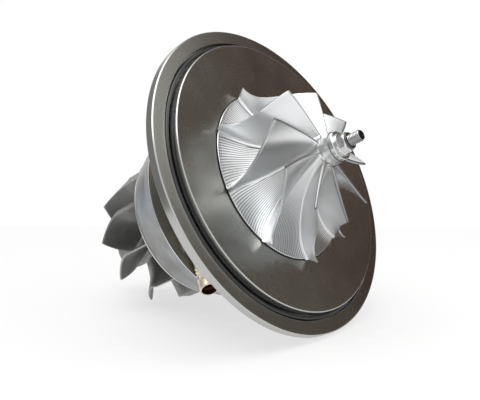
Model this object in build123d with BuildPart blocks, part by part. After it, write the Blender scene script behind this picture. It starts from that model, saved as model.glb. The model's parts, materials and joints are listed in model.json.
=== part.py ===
from build123d import *
from math import atan2, cos, degrees, radians, sin, sqrt
import os

# Turbocharger cartridge: backplate, bearing housing and the rotor that spins in them.
#
# Millimetres. Every piece is drawn around the shaft: X runs along the shaft towards the
# compressor, Z is up, and X = 0 is the joint face that the compressor cover seats on.
# An angle around the shaft starts at +Z and grows towards -Y.
# The finished pieces are then leaned together, the way the cartridge lies on a bench,
# on the edge of its backplate and a blade of its turbine wheel.

# Backplate
rim_radius = 100.6
rim_thickness = 5.5
rim_chamfer = 0.6
rim_land = 6.0
relief_depth = 1.1
relief_start = 121.0
relief_span = 46.0
register_radius = 88.0
register_height = 5.2
register_chamfer = 0.5
face_groove_width = 3.9
face_groove_depth = 2.95
register_undercut = 0.6
dish_edge_height = 1.0
plate_back_drop = 3.5
plate_hub_radius = 54.0
plate_hub_back = 14.0
plate_hub_step = 2.0
plate_neck_width = 8.0
plate_foot_gap = 2.8
wheel_pocket_gap = 1.3
wheel_back_gap = 0.9
spigot_radius = 34.0
spigot_length = 3.0
screw_circle = 40.0
screw_count = 6
screw_start_angle = 30.0
screw_radius = 3.0
screw_head_radius = 5.0
screw_head_height = 5.0
screw_key = 5.0
screw_head_sink = 0.4
screw_length = 14.5
screw_clearance = 0.2
screw_hole_extra = 0.5

# Rubber rings
register_ring_section = 2.8
spigot_ring_section = 2.1
ring_clearance = 0.02
ring_side_gap = 0.15
register_ring_recess = 0.1

# Bearing housing
housing_flange_thickness = 12.0
housing_flange_round = 1.5
waist_radius = 41.0
cone_front = -48.0
cone_front_radius = 65.0
cone_back = -76.6
cone_back_radius = 53.0
pilot_radius = 51.8
pilot_length = 1.2
waist_fillet = 5.0
oil_boss_radius = 11.0
oil_boss_height = 52.0
oil_thread_radius = 5.1
oil_thread_depth = 14.0
oil_drill_radius = 1.25
drill_overlap = 0.5
port_x = -38.2
coolant_x = -42.0
coolant_side = 47.0
coolant_lug_radius = 9.5
coolant_lug_reach = 27.0
coolant_lug_length = 14.0
coolant_jacket_start = -56.0
coolant_jacket_end = -68.0
coolant_jacket_inner = 19.0
coolant_jacket_outer = 36.0
coolant_jacket_span = 240.0
coolant_drill_radius = 3.0
coolant_port_extra = 1.0
drain_face = 50.0
drain_bore_radius = 8.5
drain_boss_radius = 14.5
drain_bolt_spacing = 46.0
drain_bolt_radius = 3.4
drain_bolt_depth = 14.0
drain_ear_radius = 8.0
drain_root_cover = 4.0
drain_web = 3.0
drain_drill_radius = 1.2
relief_drill_start = 24.0
throw_drill_start = 34.0
drain_drill_offset = 5.8
shoulder_bore_radius = 9.5
shoulder_width = 1.5
oil_throw_radius = 14.0
oil_throw_width = 2.5

# Bearings and thrust parts
journal_radius = 7.5
bush_radius = 12.0
bush_length = 12.0
bush_chamfer = 0.5
bush_clearance = 0.06
journal_clearance = 0.04
bush_end_gap = 0.2
bush_hole_radius = 1.25
bush_hole_count = 6
snap_ring_width = 1.2
snap_ring_depth = 1.0
snap_ring_reach = 0.9
snap_ring_split = 40.0
snap_ring_wall = 1.0
snap_groove_gap = 0.05
bearing_spacing = 5.4
thrust_bearing_radius = 30.0
thrust_bearing_thickness = 5.0
thrust_bore_gap = 0.3
thrust_disc_radius = 19.0
thrust_disc_thickness = 3.9
thrust_end_play = 0.05
thrust_pocket_gap = 1.5
thrust_groove_width = 2.4
thrust_groove_depth = 0.5
thrust_groove_count = 6
collar_radius = 11.8
pin_radius = 1.5
pin_circle = 25.5
pin_depth = 3.0
pin_end_gap = 0.5
pin_hole_extra = 0.2
deflector_sheet = 0.8
deflector_dish = 2.2
deflector_front_gap = 0.4
deflector_gap = 1.9
deflector_bore_gap = 1.2
deflector_edge_gap = 0.2
flinger_disc_thickness = 1.35
flinger_radius = 10.95
seat_clearance = 0.05

# Seal rings
seal_bore_radius = 11.05
seal_ring_width = 1.5
seal_ring_depth = 1.7
seal_ring_side_gap = 0.1
seal_groove_extra = 0.3
seal_ring_split = 4.0
seal_ring_clearance = 0.01
compressor_ring_x = -9.0
turbine_ring_x = -73.6

# Shaft
stub_radius = 4.0
bore_clearance = 0.02
hub_radius = 10.85
shaft_relief = 0.3
shaft_relief_ramp = 0.5
shaft_cone_rise = 0.8
shaft_cone_length = 2.0
thread_radius = 3.5
thread_chamfer = 0.7
thread_ramp = 1.0
centre_radius = 0.9
centre_depth = 1.2
stud_end = 63.9
wheel_joint = -79.5

# Heat shield
shield_sheet = 1.2
shield_radius = 52.3
shield_step_radius = 45.0
shield_bore_gap = 1.6
shield_dish = 0.5
shield_step_run = 1.0
shield_step_shift = 0.4

# Compressor wheel
compressor_blades = 9
compressor_disc_radius = 54.3
compressor_disc_edge = 1.6
compressor_disc_front = 2.0
compressor_nose = 44.0
compressor_nose_radius = 9.2
nose_run = 2.2
nose_flare = 0.5
compressor_boss_face = -4.5
compressor_boss_radius = 15.0
inducer_radius = 42.9
inducer_x = 36.5
inducer_root_x = 39.8
shroud_middle_x = 15.4
shroud_middle_radius = 46.9
exducer_radius = 58.8
exducer_width = 6.3
exducer_clearance = 0.2
compressor_phase = 57.1
inducer_turn = 2.03
inducer_turn_power = 1.0
inducer_turn_end = 0.5
backsweep_start = 38.0
backsweep_rate = 0.38
compressor_blade_tip = 1.0
compressor_blade_root = 2.2
blade_root_sink = 1.0
blade_foot_gap = 0.4
exducer_corner = 0.5

# Turbine wheel
turbine_blades = 10
turbine_disc_radius = 42.0
turbine_disc_front = -83.0
turbine_disc_back = -80.6
turbine_scallop_radius = 9.0
turbine_scallop_circle = 48.5
turbine_hub_radius = 13.0
turbine_hub_end = -152.0
turbine_hub_round = 4.0
turbine_inlet_radius = 48.2
turbine_inlet_front = -81.4
turbine_inlet_back = -102.2
turbine_shroud_round = 12.0
turbine_outlet_radius = 45.2
turbine_outlet_x = -126.0
turbine_outlet_root_x = -134.5
turbine_outlet_angle = 85.0
turbine_turn = 18.1
turbine_turn_start = -105.4
turbine_turn_power = 1.83
turbine_blade_tip = 1.5
turbine_blade_root = 3.4
turbine_root_sink = 2.0
turbine_boss_run = 3.0
turbine_shroud_rise = 0.5

# Nut and washer
washer_radius = 9.0
washer_thickness = 2.8
washer_round = 0.6
nut_across_flats = 11.0
nut_height = 5.8
nut_foot_radius = 7.2
nut_foot_height = 1.7
nut_collar_radius = 5.2
nut_collar_height = 1.2
nut_chamfer = 0.8
nut_turn = 56.5
thread_clearance = 0.02

# Brass tube
tube_neck_radius = 4.9
tube_neck_bore = 3.4
tube_shank = 9.0
tube_run = 16.6
tube_sleeve_radius = 5.8
tube_mouth_bore = 4.8
tube_bend_radius = 7.0
tube_bend = 33.0
tube_bend_side = 52.0
tube_mouth = 4.7
tube_mouth_depth = 4.0
tube_ridges = 3
tube_ridge_pitch = 2.0
tube_ridge_height = 0.5
tube_groove_width = 1.8
tube_groove_depth = 0.6


# A cut that goes right through runs past the face by this much
past_face = 1.0

# Places that follow from the sizes
rim_face_radius = rim_radius - rim_chamfer
pocket_radius = compressor_disc_radius + wheel_pocket_gap
disc_back = compressor_disc_front - compressor_disc_edge
housing_face = -plate_hub_back
spigot_face = housing_face - spigot_length
deflector_front = spigot_face - deflector_front_gap
deflector_inside = deflector_front - deflector_sheet
thrust_front = deflector_inside - deflector_dish
thrust_stop = thrust_front - thrust_bearing_thickness
deflector_rim = thrust_disc_radius + deflector_gap
plate_foot_radius = deflector_rim + deflector_sheet + plate_foot_gap
collar_disc_front = thrust_stop - thrust_end_play
collar_back = collar_disc_front - thrust_disc_thickness
collar_front = thrust_front + thrust_end_play
flinger_disc_front = collar_front + flinger_disc_thickness
bearing_bore_radius = bush_radius + bush_clearance
thrust_pocket_back = collar_back - thrust_pocket_gap
first_ring_x = thrust_pocket_back - snap_ring_width - snap_ring_wall
first_bush_front = first_ring_x - bush_end_gap
first_bush_back = first_bush_front - bush_length
second_ring_x = first_bush_back - bush_end_gap - snap_ring_width
third_ring_x = second_ring_x - bearing_spacing
second_bush_front = third_ring_x - bush_end_gap
second_bush_back = second_bush_front - bush_length
bearing_stop = second_bush_back - bush_end_gap
throw_front = bearing_stop - shoulder_width
throw_back = throw_front - oil_throw_width
housing_back = cone_back - pilot_length
wheel_bore_radius = stub_radius + bore_clearance
nose_face = compressor_nose + nose_run
nut_face = nose_face + washer_thickness
nut_top = nut_face + nut_height
nut_end = nut_top + nut_collar_height
nut_corner_radius = nut_across_flats / sqrt(3)


def station(x):
    """The plane square to the shaft at x, seen from the compressor side."""
    return Plane(origin=(x, 0, 0), x_dir=(0, 0, 1), z_dir=(1, 0, 0))


def half_plane(angle):
    """The plane that holds the shaft and the direction at this angle around it."""
    return Plane.XZ.rotated((angle, 0, 0))


def polar(radius, angle):
    """A point of a station plane, from its radius and its angle around the shaft."""
    return (radius * cos(radians(angle)), radius * sin(radians(angle)))


def pocket_floor(radius):
    """X of the floor behind the compressor wheel, which follows the wheel's back."""
    share = (compressor_disc_radius - radius) / (compressor_disc_radius - compressor_boss_radius)
    return disc_back - wheel_back_gap + share * (compressor_boss_face - disc_back)


# Backplate: turned from one disc, with the cover's register and the ring groove beside it
with BuildPart() as backplate:
    with BuildSketch(Plane.XZ):
        with BuildLine():
            Polyline(
                (pocket_floor(compressor_boss_radius), seal_bore_radius),
                (pocket_floor(compressor_boss_radius), compressor_boss_radius),
                (pocket_floor(pocket_radius), pocket_radius),
                (dish_edge_height, pocket_radius),
                (register_height, register_radius - register_chamfer),
                (register_height - register_chamfer, register_radius),
                (0, register_radius),
                (0, register_radius - register_undercut),
                (-face_groove_depth, register_radius - register_undercut),
                (-face_groove_depth, register_radius + face_groove_width),
                (0, register_radius + face_groove_width),
                (0, rim_face_radius),
                (-rim_chamfer, rim_radius),
                (-rim_thickness, rim_radius),
                (-rim_thickness, rim_radius - rim_land),
                (-rim_thickness - plate_back_drop, plate_hub_radius + plate_neck_width),
                (housing_face + plate_hub_step, plate_hub_radius),
                (housing_face, plate_hub_radius),
                (housing_face, spigot_radius),
                (spigot_face, spigot_radius),
                (spigot_face, thrust_bearing_radius),
                (thrust_front + deflector_sheet, thrust_bearing_radius),
                (thrust_front + deflector_sheet, plate_foot_radius),
                (spigot_face, plate_foot_radius),
                (spigot_face, seal_bore_radius),
                close=True,
            )
        make_face()
    revolve(axis=Axis.X)
    # Groove of the ring that seals the spigot
    with BuildSketch(Plane.XZ):
        with Locations(((housing_face + spigot_face) / 2, spigot_radius)):
            Rectangle(
                spigot_ring_section + 2 * ring_side_gap,
                2 * (spigot_ring_section + 2 * ring_clearance),
            )
    revolve(axis=Axis.X, mode=Mode.SUBTRACT)
    # Relief milled into the back of the rim beside the coolant tube
    with BuildSketch(half_plane(relief_start)):
        with Locations((-rim_thickness, rim_radius)):
            Rectangle(2 * relief_depth, 2 * rim_land)
    revolve(axis=Axis.X, revolution_arc=relief_span, mode=Mode.SUBTRACT)
    # Screw holes, with their heads sunk below the floor behind the wheel
    screw_seat = pocket_floor(screw_circle - screw_head_radius) - screw_head_sink - screw_head_height
    with BuildSketch(station(housing_face)):
        with PolarLocations(screw_circle, screw_count, start_angle=screw_start_angle):
            Circle(screw_radius + screw_clearance)
    extrude(amount=plate_hub_back, mode=Mode.SUBTRACT)
    with BuildSketch(station(screw_seat)):
        with PolarLocations(screw_circle, screw_count, start_angle=screw_start_angle):
            Circle(screw_head_radius + screw_clearance)
    extrude(amount=plate_hub_back, mode=Mode.SUBTRACT)

# Rubber ring in the face groove
register_ring_radius = register_radius + (face_groove_width - register_undercut) / 2
with BuildPart() as register_o_ring:
    with BuildSketch(Plane.XZ):
        with Locations((-register_ring_section / 2 - register_ring_recess, register_ring_radius)):
            Circle(register_ring_section / 2)
    revolve(axis=Axis.X)

# Rubber ring on the spigot
spigot_ring_radius = spigot_radius - ring_clearance - spigot_ring_section / 2
with BuildPart() as backplate_seal_ring:
    with BuildSketch(Plane.XZ):
        with Locations(((housing_face + spigot_face) / 2, spigot_ring_radius)):
            Circle(spigot_ring_section / 2)
    revolve(axis=Axis.X)

# Six socket screws from the pocket behind the wheel into the housing
screw_end = screw_seat - screw_length
with BuildPart() as backplate_bolts:
    with BuildSketch(station(screw_seat)):
        with PolarLocations(screw_circle, screw_count, start_angle=screw_start_angle):
            Circle(screw_head_radius)
    extrude(amount=screw_head_height)
    with BuildSketch(station(screw_seat)):
        with PolarLocations(screw_circle, screw_count, start_angle=screw_start_angle):
            Circle(screw_radius)
    extrude(amount=-screw_length)
    with BuildSketch(station(screw_seat + screw_head_height)):
        with PolarLocations(screw_circle, screw_count, start_angle=screw_start_angle):
            RegularPolygon(screw_key / 2, 6, major_radius=False)
    extrude(amount=-screw_head_height / 2, mode=Mode.SUBTRACT)

# Bearing housing: cast body with turned seats, oil and coolant ports
with BuildPart() as bearing_housing:
    with BuildSketch(Plane.XZ):
        with BuildLine():
            outline = FilletPolyline(
                (housing_face, plate_hub_radius),
                (housing_face - housing_flange_thickness, plate_hub_radius),
                (housing_face - housing_flange_thickness, waist_radius),
                (cone_front, waist_radius),
                (cone_front, cone_front_radius),
                radius=[housing_flange_round, waist_fillet, waist_fillet],
            )
            Polyline(
                outline @ 1,
                (cone_back, cone_back_radius),
                (cone_back, pilot_radius),
                (housing_back, pilot_radius),
                (housing_back, 0),
                (housing_face, 0),
                outline @ 0,
            )
        make_face()
    revolve(axis=Axis.X)
    # Oil inlet boss
    with BuildSketch(Plane(origin=(port_x, 0, 0), x_dir=(1, 0, 0), z_dir=(0, -1, 0))):
        Circle(oil_boss_radius)
    extrude(amount=oil_boss_height)
    # A lug on each side of the oil boss carries a coolant port
    for side in (-1, 1):
        with BuildSketch(Plane.XY.offset(side * coolant_lug_reach)):
            with Locations((coolant_x, -coolant_side)):
                Circle(coolant_lug_radius)
            with Locations((coolant_x, -coolant_side / 2)):
                Rectangle(2 * coolant_lug_radius, coolant_side)
        extrude(amount=-side * coolant_lug_length)
    # Oil drain flange with two ears
    with BuildSketch(Plane(origin=(port_x, drain_face, 0), x_dir=(1, 0, 0), z_dir=(0, 1, 0))):
        Circle(drain_boss_radius)
        with GridLocations(0, drain_bolt_spacing, 1, 2):
            Circle(drain_ear_radius)
        make_hull()
    extrude(amount=-drain_face + bearing_bore_radius + drain_root_cover)
    # Seats along the shaft: spigot, thrust parts, bushes, oil throw and turbine seal
    with BuildSketch(Plane.XZ):
        with BuildLine():
            Polyline(
                (housing_face, 0),
                (housing_face, spigot_radius + seat_clearance),
                (spigot_face, spigot_radius + seat_clearance),
                (spigot_face, thrust_bearing_radius + seat_clearance),
                (thrust_stop, thrust_bearing_radius + seat_clearance),
                (thrust_stop, thrust_disc_radius + thrust_pocket_gap),
                (thrust_pocket_back, thrust_disc_radius + thrust_pocket_gap),
                (thrust_pocket_back, bearing_bore_radius),
                (bearing_stop, bearing_bore_radius),
                (bearing_stop, shoulder_bore_radius),
                (throw_front, shoulder_bore_radius),
                (throw_front, oil_throw_radius),
                (throw_back, oil_throw_radius),
                (throw_back, seal_bore_radius),
                (housing_back, seal_bore_radius),
                (housing_back, 0),
                close=True,
            )
        make_face()
    revolve(axis=Axis.X, mode=Mode.SUBTRACT)
    # Grooves of the snap rings
    with BuildSketch(Plane.XZ):
        for ring_x in (first_ring_x, second_ring_x, third_ring_x):
            with Locations((ring_x + snap_ring_width / 2, bearing_bore_radius)):
                Rectangle(snap_ring_width + 2 * snap_groove_gap, 2 * snap_ring_depth)
    revolve(axis=Axis.X, mode=Mode.SUBTRACT)
    # Coolant jacket, and the drillings that lead to it from both ports
    with BuildSketch(half_plane(90 - coolant_jacket_span / 2)):
        with BuildLine():
            Polyline(
                (coolant_jacket_start, coolant_jacket_inner),
                (coolant_jacket_start, coolant_jacket_outer),
                (coolant_jacket_end, coolant_jacket_outer),
                (coolant_jacket_end, coolant_jacket_inner),
                close=True,
            )
        make_face()
    revolve(axis=Axis.X, revolution_arc=coolant_jacket_span, mode=Mode.SUBTRACT)
    for side in (-1, 1):
        port = Vector(coolant_x, -coolant_side, side * coolant_lug_reach)
        with BuildSketch(Plane(origin=port, x_dir=(1, 0, 0), z_dir=(0, 0, -side))):
            Circle(tube_neck_radius + thread_clearance)
        extrude(amount=tube_shank + coolant_port_extra, mode=Mode.SUBTRACT)
        port_end = coolant_lug_reach - tube_shank - coolant_port_extra
        port_bottom = Vector(coolant_x, -coolant_side, side * port_end)
        jacket_point = Vector(
            (coolant_jacket_start + coolant_jacket_end) / 2,
            -(coolant_jacket_inner + coolant_jacket_outer) / 2,
            side * port_end,
        )
        drill = jacket_point - port_bottom
        with BuildSketch(Plane(origin=port_bottom, z_dir=drill)):
            Circle(coolant_drill_radius)
        extrude(amount=drill.length, mode=Mode.SUBTRACT)
    # Oil inlet thread and the drilling down to the bushes
    with BuildSketch(Plane(origin=(port_x, -oil_boss_height, 0), x_dir=(1, 0, 0), z_dir=(0, 1, 0))):
        Circle(oil_thread_radius)
    extrude(amount=oil_thread_depth, mode=Mode.SUBTRACT)
    for bush_x in ((first_bush_front + first_bush_back) / 2, (second_bush_front + second_bush_back) / 2):
        oil_start = Vector(port_x, -oil_boss_height + oil_thread_depth, 0)
        oil_path = Vector(bush_x, -bearing_bore_radius + drill_overlap, 0) - oil_start
        with BuildSketch(Plane(origin=oil_start, z_dir=oil_path)):
            Circle(oil_drill_radius)
        extrude(amount=oil_path.length, mode=Mode.SUBTRACT)
    # Oil drain, open to the thrust pocket, with drillings from between the bushes and the oil throw
    with BuildSketch(Plane(origin=(port_x, drain_face, 0), x_dir=(1, 0, 0), z_dir=(0, -1, 0))):
        Circle(drain_bore_radius)
    extrude(amount=drain_face - bearing_bore_radius - drain_web, mode=Mode.SUBTRACT)
    with BuildSketch(Plane(origin=(port_x, drain_face, 0), x_dir=(1, 0, 0), z_dir=(0, -1, 0))):
        with GridLocations(0, drain_bolt_spacing, 1, 2):
            Circle(drain_bolt_radius)
    extrude(amount=drain_bolt_depth, mode=Mode.SUBTRACT)
    for drill_x, drill_y, start_y in (
        ((second_ring_x + third_ring_x + snap_ring_width) / 2, bearing_bore_radius, relief_drill_start),
        ((throw_front + throw_back) / 2, oil_throw_radius, throw_drill_start),
    ):
        drain_end = Vector(drill_x, drill_y - drill_overlap, 0)
        drain_path = Vector(port_x - drain_drill_offset, start_y, 0) - drain_end
        with BuildSketch(Plane(origin=drain_end, z_dir=drain_path)):
            Circle(drain_drill_radius)
        extrude(amount=drain_path.length, mode=Mode.SUBTRACT)
    # Tapped holes for the backplate's screws, and the pin holes behind the thrust bearing
    with BuildSketch(station(housing_face)):
        with PolarLocations(screw_circle, screw_count, start_angle=screw_start_angle):
            Circle(screw_radius + thread_clearance)
    extrude(amount=screw_end - housing_face - screw_hole_extra, mode=Mode.SUBTRACT)
    with BuildSketch(station(thrust_stop)):
        with PolarLocations(pin_circle, 2):
            Circle(pin_radius + thread_clearance)
    extrude(amount=-pin_depth - pin_hole_extra, mode=Mode.SUBTRACT)

# Heat shield: pressed sheet between the housing and the turbine wheel
shield_front = housing_back
shield_inner_front = shield_front - shield_dish
shield_step_end = shield_step_radius + shield_step_shift
with BuildPart() as heat_shield:
    with BuildSketch(Plane.XZ):
        with BuildLine():
            Polyline(
                (shield_front, shield_radius),
                (shield_front, shield_step_radius + shield_step_run),
                (shield_inner_front, shield_step_radius - shield_step_run),
                (shield_inner_front, hub_radius + shield_bore_gap),
                (shield_inner_front - shield_sheet, hub_radius + shield_bore_gap),
                (shield_inner_front - shield_sheet, shield_step_end - shield_step_run),
                (shield_front - shield_sheet, shield_step_end + shield_step_run),
                (shield_front - shield_sheet, shield_radius),
                close=True,
            )
        make_face()
    revolve(axis=Axis.X)


def floating_bush(front):
    """Bronze bush with chamfered ends and a ring of oil holes."""
    middle = front - bush_length / 2
    back = front - bush_length
    bore = journal_radius + journal_clearance
    with BuildPart() as bush:
        with BuildSketch(Plane.XZ):
            with BuildLine():
                Polyline(
                    (front, bore + bush_chamfer),
                    (front, bush_radius - bush_chamfer),
                    (front - bush_chamfer, bush_radius),
                    (back + bush_chamfer, bush_radius),
                    (back, bush_radius - bush_chamfer),
                    (back, bore + bush_chamfer),
                    (back + bush_chamfer, bore),
                    (front - bush_chamfer, bore),
                    close=True,
                )
            make_face()
        revolve(axis=Axis.X)
        for number in range(bush_hole_count // 2):
            angle = radians(number * 360 / bush_hole_count)
            across = Vector(0, -sin(angle), cos(angle))
            with BuildSketch(Plane(origin=Vector(middle, 0, 0) - across * bush_radius, z_dir=across)):
                Circle(bush_hole_radius)
            extrude(amount=2 * bush_radius, mode=Mode.SUBTRACT)
    return bush


compressor_side_bearing = floating_bush(first_bush_front)
turbine_side_bearing = floating_bush(second_bush_front)

# Three internal snap rings that keep the bushes in place
with BuildPart() as bearing_snap_rings:
    with BuildSketch(half_plane(snap_ring_split / 2)):
        for ring_x in (first_ring_x, second_ring_x, third_ring_x):
            with Locations((ring_x + snap_ring_width / 2, bearing_bore_radius)):
                Rectangle(snap_ring_width, 2 * snap_ring_reach)
    revolve(axis=Axis.X, revolution_arc=360 - snap_ring_split)

# Thrust bearing: bronze plate with oil grooves across both faces
thrust_bore = collar_radius + thrust_bore_gap
with BuildPart() as thrust_bearing:
    with BuildSketch(station(thrust_stop)):
        Circle(thrust_bearing_radius)
        Circle(thrust_bore, mode=Mode.SUBTRACT)
        with PolarLocations(pin_circle, 2):
            Circle(pin_radius + thread_clearance, mode=Mode.SUBTRACT)
    extrude(amount=thrust_bearing_thickness)
    groove_length = thrust_disc_radius - thrust_bore + past_face
    groove_middle = thrust_disc_radius - groove_length / 2
    for face, direction in ((thrust_front, -1), (thrust_stop, 1)):
        with BuildSketch(station(face)):
            with PolarLocations(groove_middle, thrust_groove_count):
                Rectangle(groove_length, thrust_groove_width)
        extrude(amount=direction * thrust_groove_depth, mode=Mode.SUBTRACT)

# Two pins that keep the thrust bearing from turning
with BuildPart() as thrust_bearing_pins:
    with BuildSketch(station(thrust_stop - pin_depth)):
        with PolarLocations(pin_circle, 2):
            Circle(pin_radius)
    extrude(amount=pin_depth + thrust_bearing_thickness - pin_end_gap)

# Oil deflector: dished sheet that covers the flinger's disc
deflector_edge = thrust_bearing_radius - deflector_edge_gap
deflector_bore = flinger_radius + deflector_bore_gap
with BuildPart() as oil_deflector:
    with BuildSketch(Plane.XZ):
        with BuildLine():
            Polyline(
                (thrust_front, deflector_edge),
                (thrust_front, deflector_rim),
                (deflector_inside, deflector_rim),
                (deflector_inside, deflector_bore),
                (deflector_front, deflector_bore),
                (deflector_front, deflector_rim + deflector_sheet),
                (thrust_front + deflector_sheet, deflector_rim + deflector_sheet),
                (thrust_front + deflector_sheet, deflector_edge),
                close=True,
            )
        make_face()
    revolve(axis=Axis.X)


def seal_ring(ring_x):
    """Split metal ring that springs against the seal bore, ring_x at its middle."""
    with BuildPart() as ring:
        with BuildSketch(half_plane(seal_ring_split / 2)):
            with Locations((ring_x, seal_bore_radius - seal_ring_clearance - seal_ring_depth / 2)):
                Rectangle(seal_ring_width, seal_ring_depth)
        revolve(axis=Axis.X, revolution_arc=360 - seal_ring_split)
    return ring


compressor_seal_ring = seal_ring(compressor_ring_x)
turbine_seal_ring = seal_ring(turbine_ring_x)
seal_groove_floor = seal_bore_radius - seal_ring_depth - seal_groove_extra
seal_groove_width = seal_ring_width + 2 * seal_ring_side_gap

# Thrust collar on the shaft, with its disc behind the thrust bearing
with BuildPart() as thrust_collar:
    with BuildSketch(Plane.XZ):
        with BuildLine():
            Polyline(
                (collar_back, wheel_bore_radius),
                (collar_back, thrust_disc_radius),
                (collar_disc_front, thrust_disc_radius),
                (collar_disc_front, collar_radius),
                (collar_front, collar_radius),
                (collar_front, wheel_bore_radius),
                close=True,
            )
        make_face()
    revolve(axis=Axis.X)

# Oil flinger: disc in front of the thrust bearing and a sleeve with the seal ring's groove
with BuildPart() as oil_flinger:
    with BuildSketch(Plane.XZ):
        with BuildLine():
            Polyline(
                (collar_front, wheel_bore_radius),
                (collar_front, thrust_disc_radius),
                (flinger_disc_front, thrust_disc_radius),
                (flinger_disc_front, flinger_radius),
                (compressor_ring_x - seal_groove_width / 2, flinger_radius),
                (compressor_ring_x - seal_groove_width / 2, seal_groove_floor),
                (compressor_ring_x + seal_groove_width / 2, seal_groove_floor),
                (compressor_ring_x + seal_groove_width / 2, flinger_radius),
                (compressor_boss_face, flinger_radius),
                (compressor_boss_face, wheel_bore_radius),
                close=True,
            )
        make_face()
    revolve(axis=Axis.X)

# Shaft: seal hub at the turbine, two journals, the long stub and its threaded end
relief_front = (first_bush_back + second_ring_x) / 2
relief_back = (second_bush_front + third_ring_x) / 2
with BuildPart() as shaft:
    with BuildSketch(Plane.XZ):
        with BuildLine():
            Polyline(
                (wheel_joint, 0),
                (wheel_joint, hub_radius),
                (turbine_ring_x - seal_groove_width / 2, hub_radius),
                (turbine_ring_x - seal_groove_width / 2, seal_groove_floor),
                (turbine_ring_x + seal_groove_width / 2, seal_groove_floor),
                (turbine_ring_x + seal_groove_width / 2, hub_radius),
                (throw_back, hub_radius),
                (throw_back + shaft_relief_ramp, journal_radius + shaft_cone_rise),
                (throw_back + shaft_cone_length, journal_radius),
                (relief_back, journal_radius),
                (relief_back + shaft_relief_ramp, journal_radius - shaft_relief),
                (relief_front - shaft_relief_ramp, journal_radius - shaft_relief),
                (relief_front, journal_radius),
                (collar_back, journal_radius),
                (collar_back, stub_radius),
                (nose_face - thread_ramp, stub_radius),
                (nose_face, thread_radius),
                (stud_end - thread_chamfer, thread_radius),
                (stud_end, thread_radius - thread_chamfer),
                (stud_end, centre_radius),
                (stud_end - centre_depth, 0),
                close=True,
            )
        make_face()
    revolve(axis=Axis.X)


def turn_rate(x):
    """How fast the compressor blade turns along the shaft, in degrees per millimetre."""
    share = max(0.0, (x - inducer_turn_end) / (inducer_x - inducer_turn_end))
    return inducer_turn * share**inducer_turn_power


def compressor_angle(x, radius):
    """Angle of the compressor blade's middle: the inducer's turn, then the backsweep."""
    length = inducer_x - inducer_turn_end
    share = max(0.0, (x - inducer_turn_end) / length)
    turned = inducer_turn * length * (1 - share ** (inducer_turn_power + 1)) / (inducer_turn_power + 1)
    sweep_length = exducer_radius - backsweep_start
    swept = backsweep_rate * max(0.0, radius - backsweep_start) ** 2 / (2 * sweep_length)
    return compressor_phase + turned + swept


def compressor_half_angle(x, radius):
    """Half the blade's thickness as an angle, thinner at the tip than at the root."""
    share = (radius - compressor_nose_radius) / (exducer_radius - compressor_nose_radius)
    thickness = compressor_blade_root + share * (compressor_blade_tip - compressor_blade_root)
    slope = radius * radians(turn_rate(x))
    sweep_rate = backsweep_rate * max(0.0, radius - backsweep_start) / (exducer_radius - backsweep_start)
    sweep = radius * radians(sweep_rate)
    return degrees(thickness / 2 * sqrt(1 + slope**2 + sweep**2) / radius)


def blade_section(x, radii, angle, half_angle):
    """One cut through a blade, square to the shaft: two curved flanks and two short ends."""
    one_flank = [polar(radius, angle(x, radius) + half_angle(x, radius)) for radius in radii]
    other_flank = [polar(radius, angle(x, radius) - half_angle(x, radius)) for radius in radii]
    with BuildSketch(station(x)) as section:
        with BuildLine():
            Spline(*one_flank)
            Line(one_flank[-1], other_flank[-1])
            Spline(*other_flank)
            Line(other_flank[0], one_flank[0])
        make_face()
    return section.sketch.face()


# One compressor blade: cuts along the shaft, lofted, then trimmed to the blade's outline
compressor_cuts = [0.0, 8.0, 16.0, 24.0, 32.0, 42.0]
compressor_radii = [7.0, 17.0, 27.0, 37.0, 48.0, 60.0]
with BuildPart() as compressor_blade:
    loft(
        [
            blade_section(cut_x, compressor_radii, compressor_angle, compressor_half_angle)
            for cut_x in compressor_cuts
        ]
    )
    with BuildSketch(Plane.XZ):
        with BuildLine():
            shroud = Spline(
                (compressor_disc_front + exducer_width, exducer_radius),
                (shroud_middle_x, shroud_middle_radius),
                (inducer_x, inducer_radius),
                tangents=((0, -1), (1, 0)),
            )
            Polyline(
                shroud @ 1,
                (inducer_root_x, compressor_nose_radius - blade_root_sink),
                (disc_back + blade_foot_gap, compressor_nose_radius - blade_root_sink),
                (disc_back + blade_foot_gap, compressor_disc_radius - blade_root_sink),
                (compressor_disc_front + exducer_clearance, compressor_disc_radius + exducer_corner),
                shroud @ 0,
            )
        make_face()
    revolve(axis=Axis.X, mode=Mode.INTERSECT)

# Compressor wheel: turned hub and back disc with nine full blades
with BuildPart() as compressor_wheel:
    with BuildSketch(Plane.XZ):
        with BuildLine():
            hub_curve = EllipticalCenterArc(
                (compressor_nose, compressor_disc_radius),
                compressor_nose - compressor_disc_front,
                compressor_disc_radius - compressor_nose_radius,
                start_angle=180,
                arc_size=90,
            )
            Polyline(
                hub_curve @ 1,
                (nose_face, compressor_nose_radius + nose_flare),
                (nose_face, wheel_bore_radius),
                (compressor_boss_face, wheel_bore_radius),
                (compressor_boss_face, compressor_boss_radius),
                (disc_back, compressor_disc_radius),
                hub_curve @ 0,
            )
        make_face()
    revolve(axis=Axis.X)
    add(
        [
            compressor_blade.part.rotate(Axis.X, number * 360 / compressor_blades)
            for number in range(compressor_blades)
        ]
    )


def turbine_share(x):
    """Distance of x behind the start of the turn, as a share of the turn's length at the tip."""
    return max(0.0, (turbine_turn_start - x) / (turbine_turn_start - turbine_outlet_x))


def turbine_angle(x, radius):
    """Angle of the turbine blade's middle: radial at the inlet, turned at the outlet."""
    return turbine_outlet_angle - turbine_turn * (1 - turbine_share(x) ** turbine_turn_power)


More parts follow.
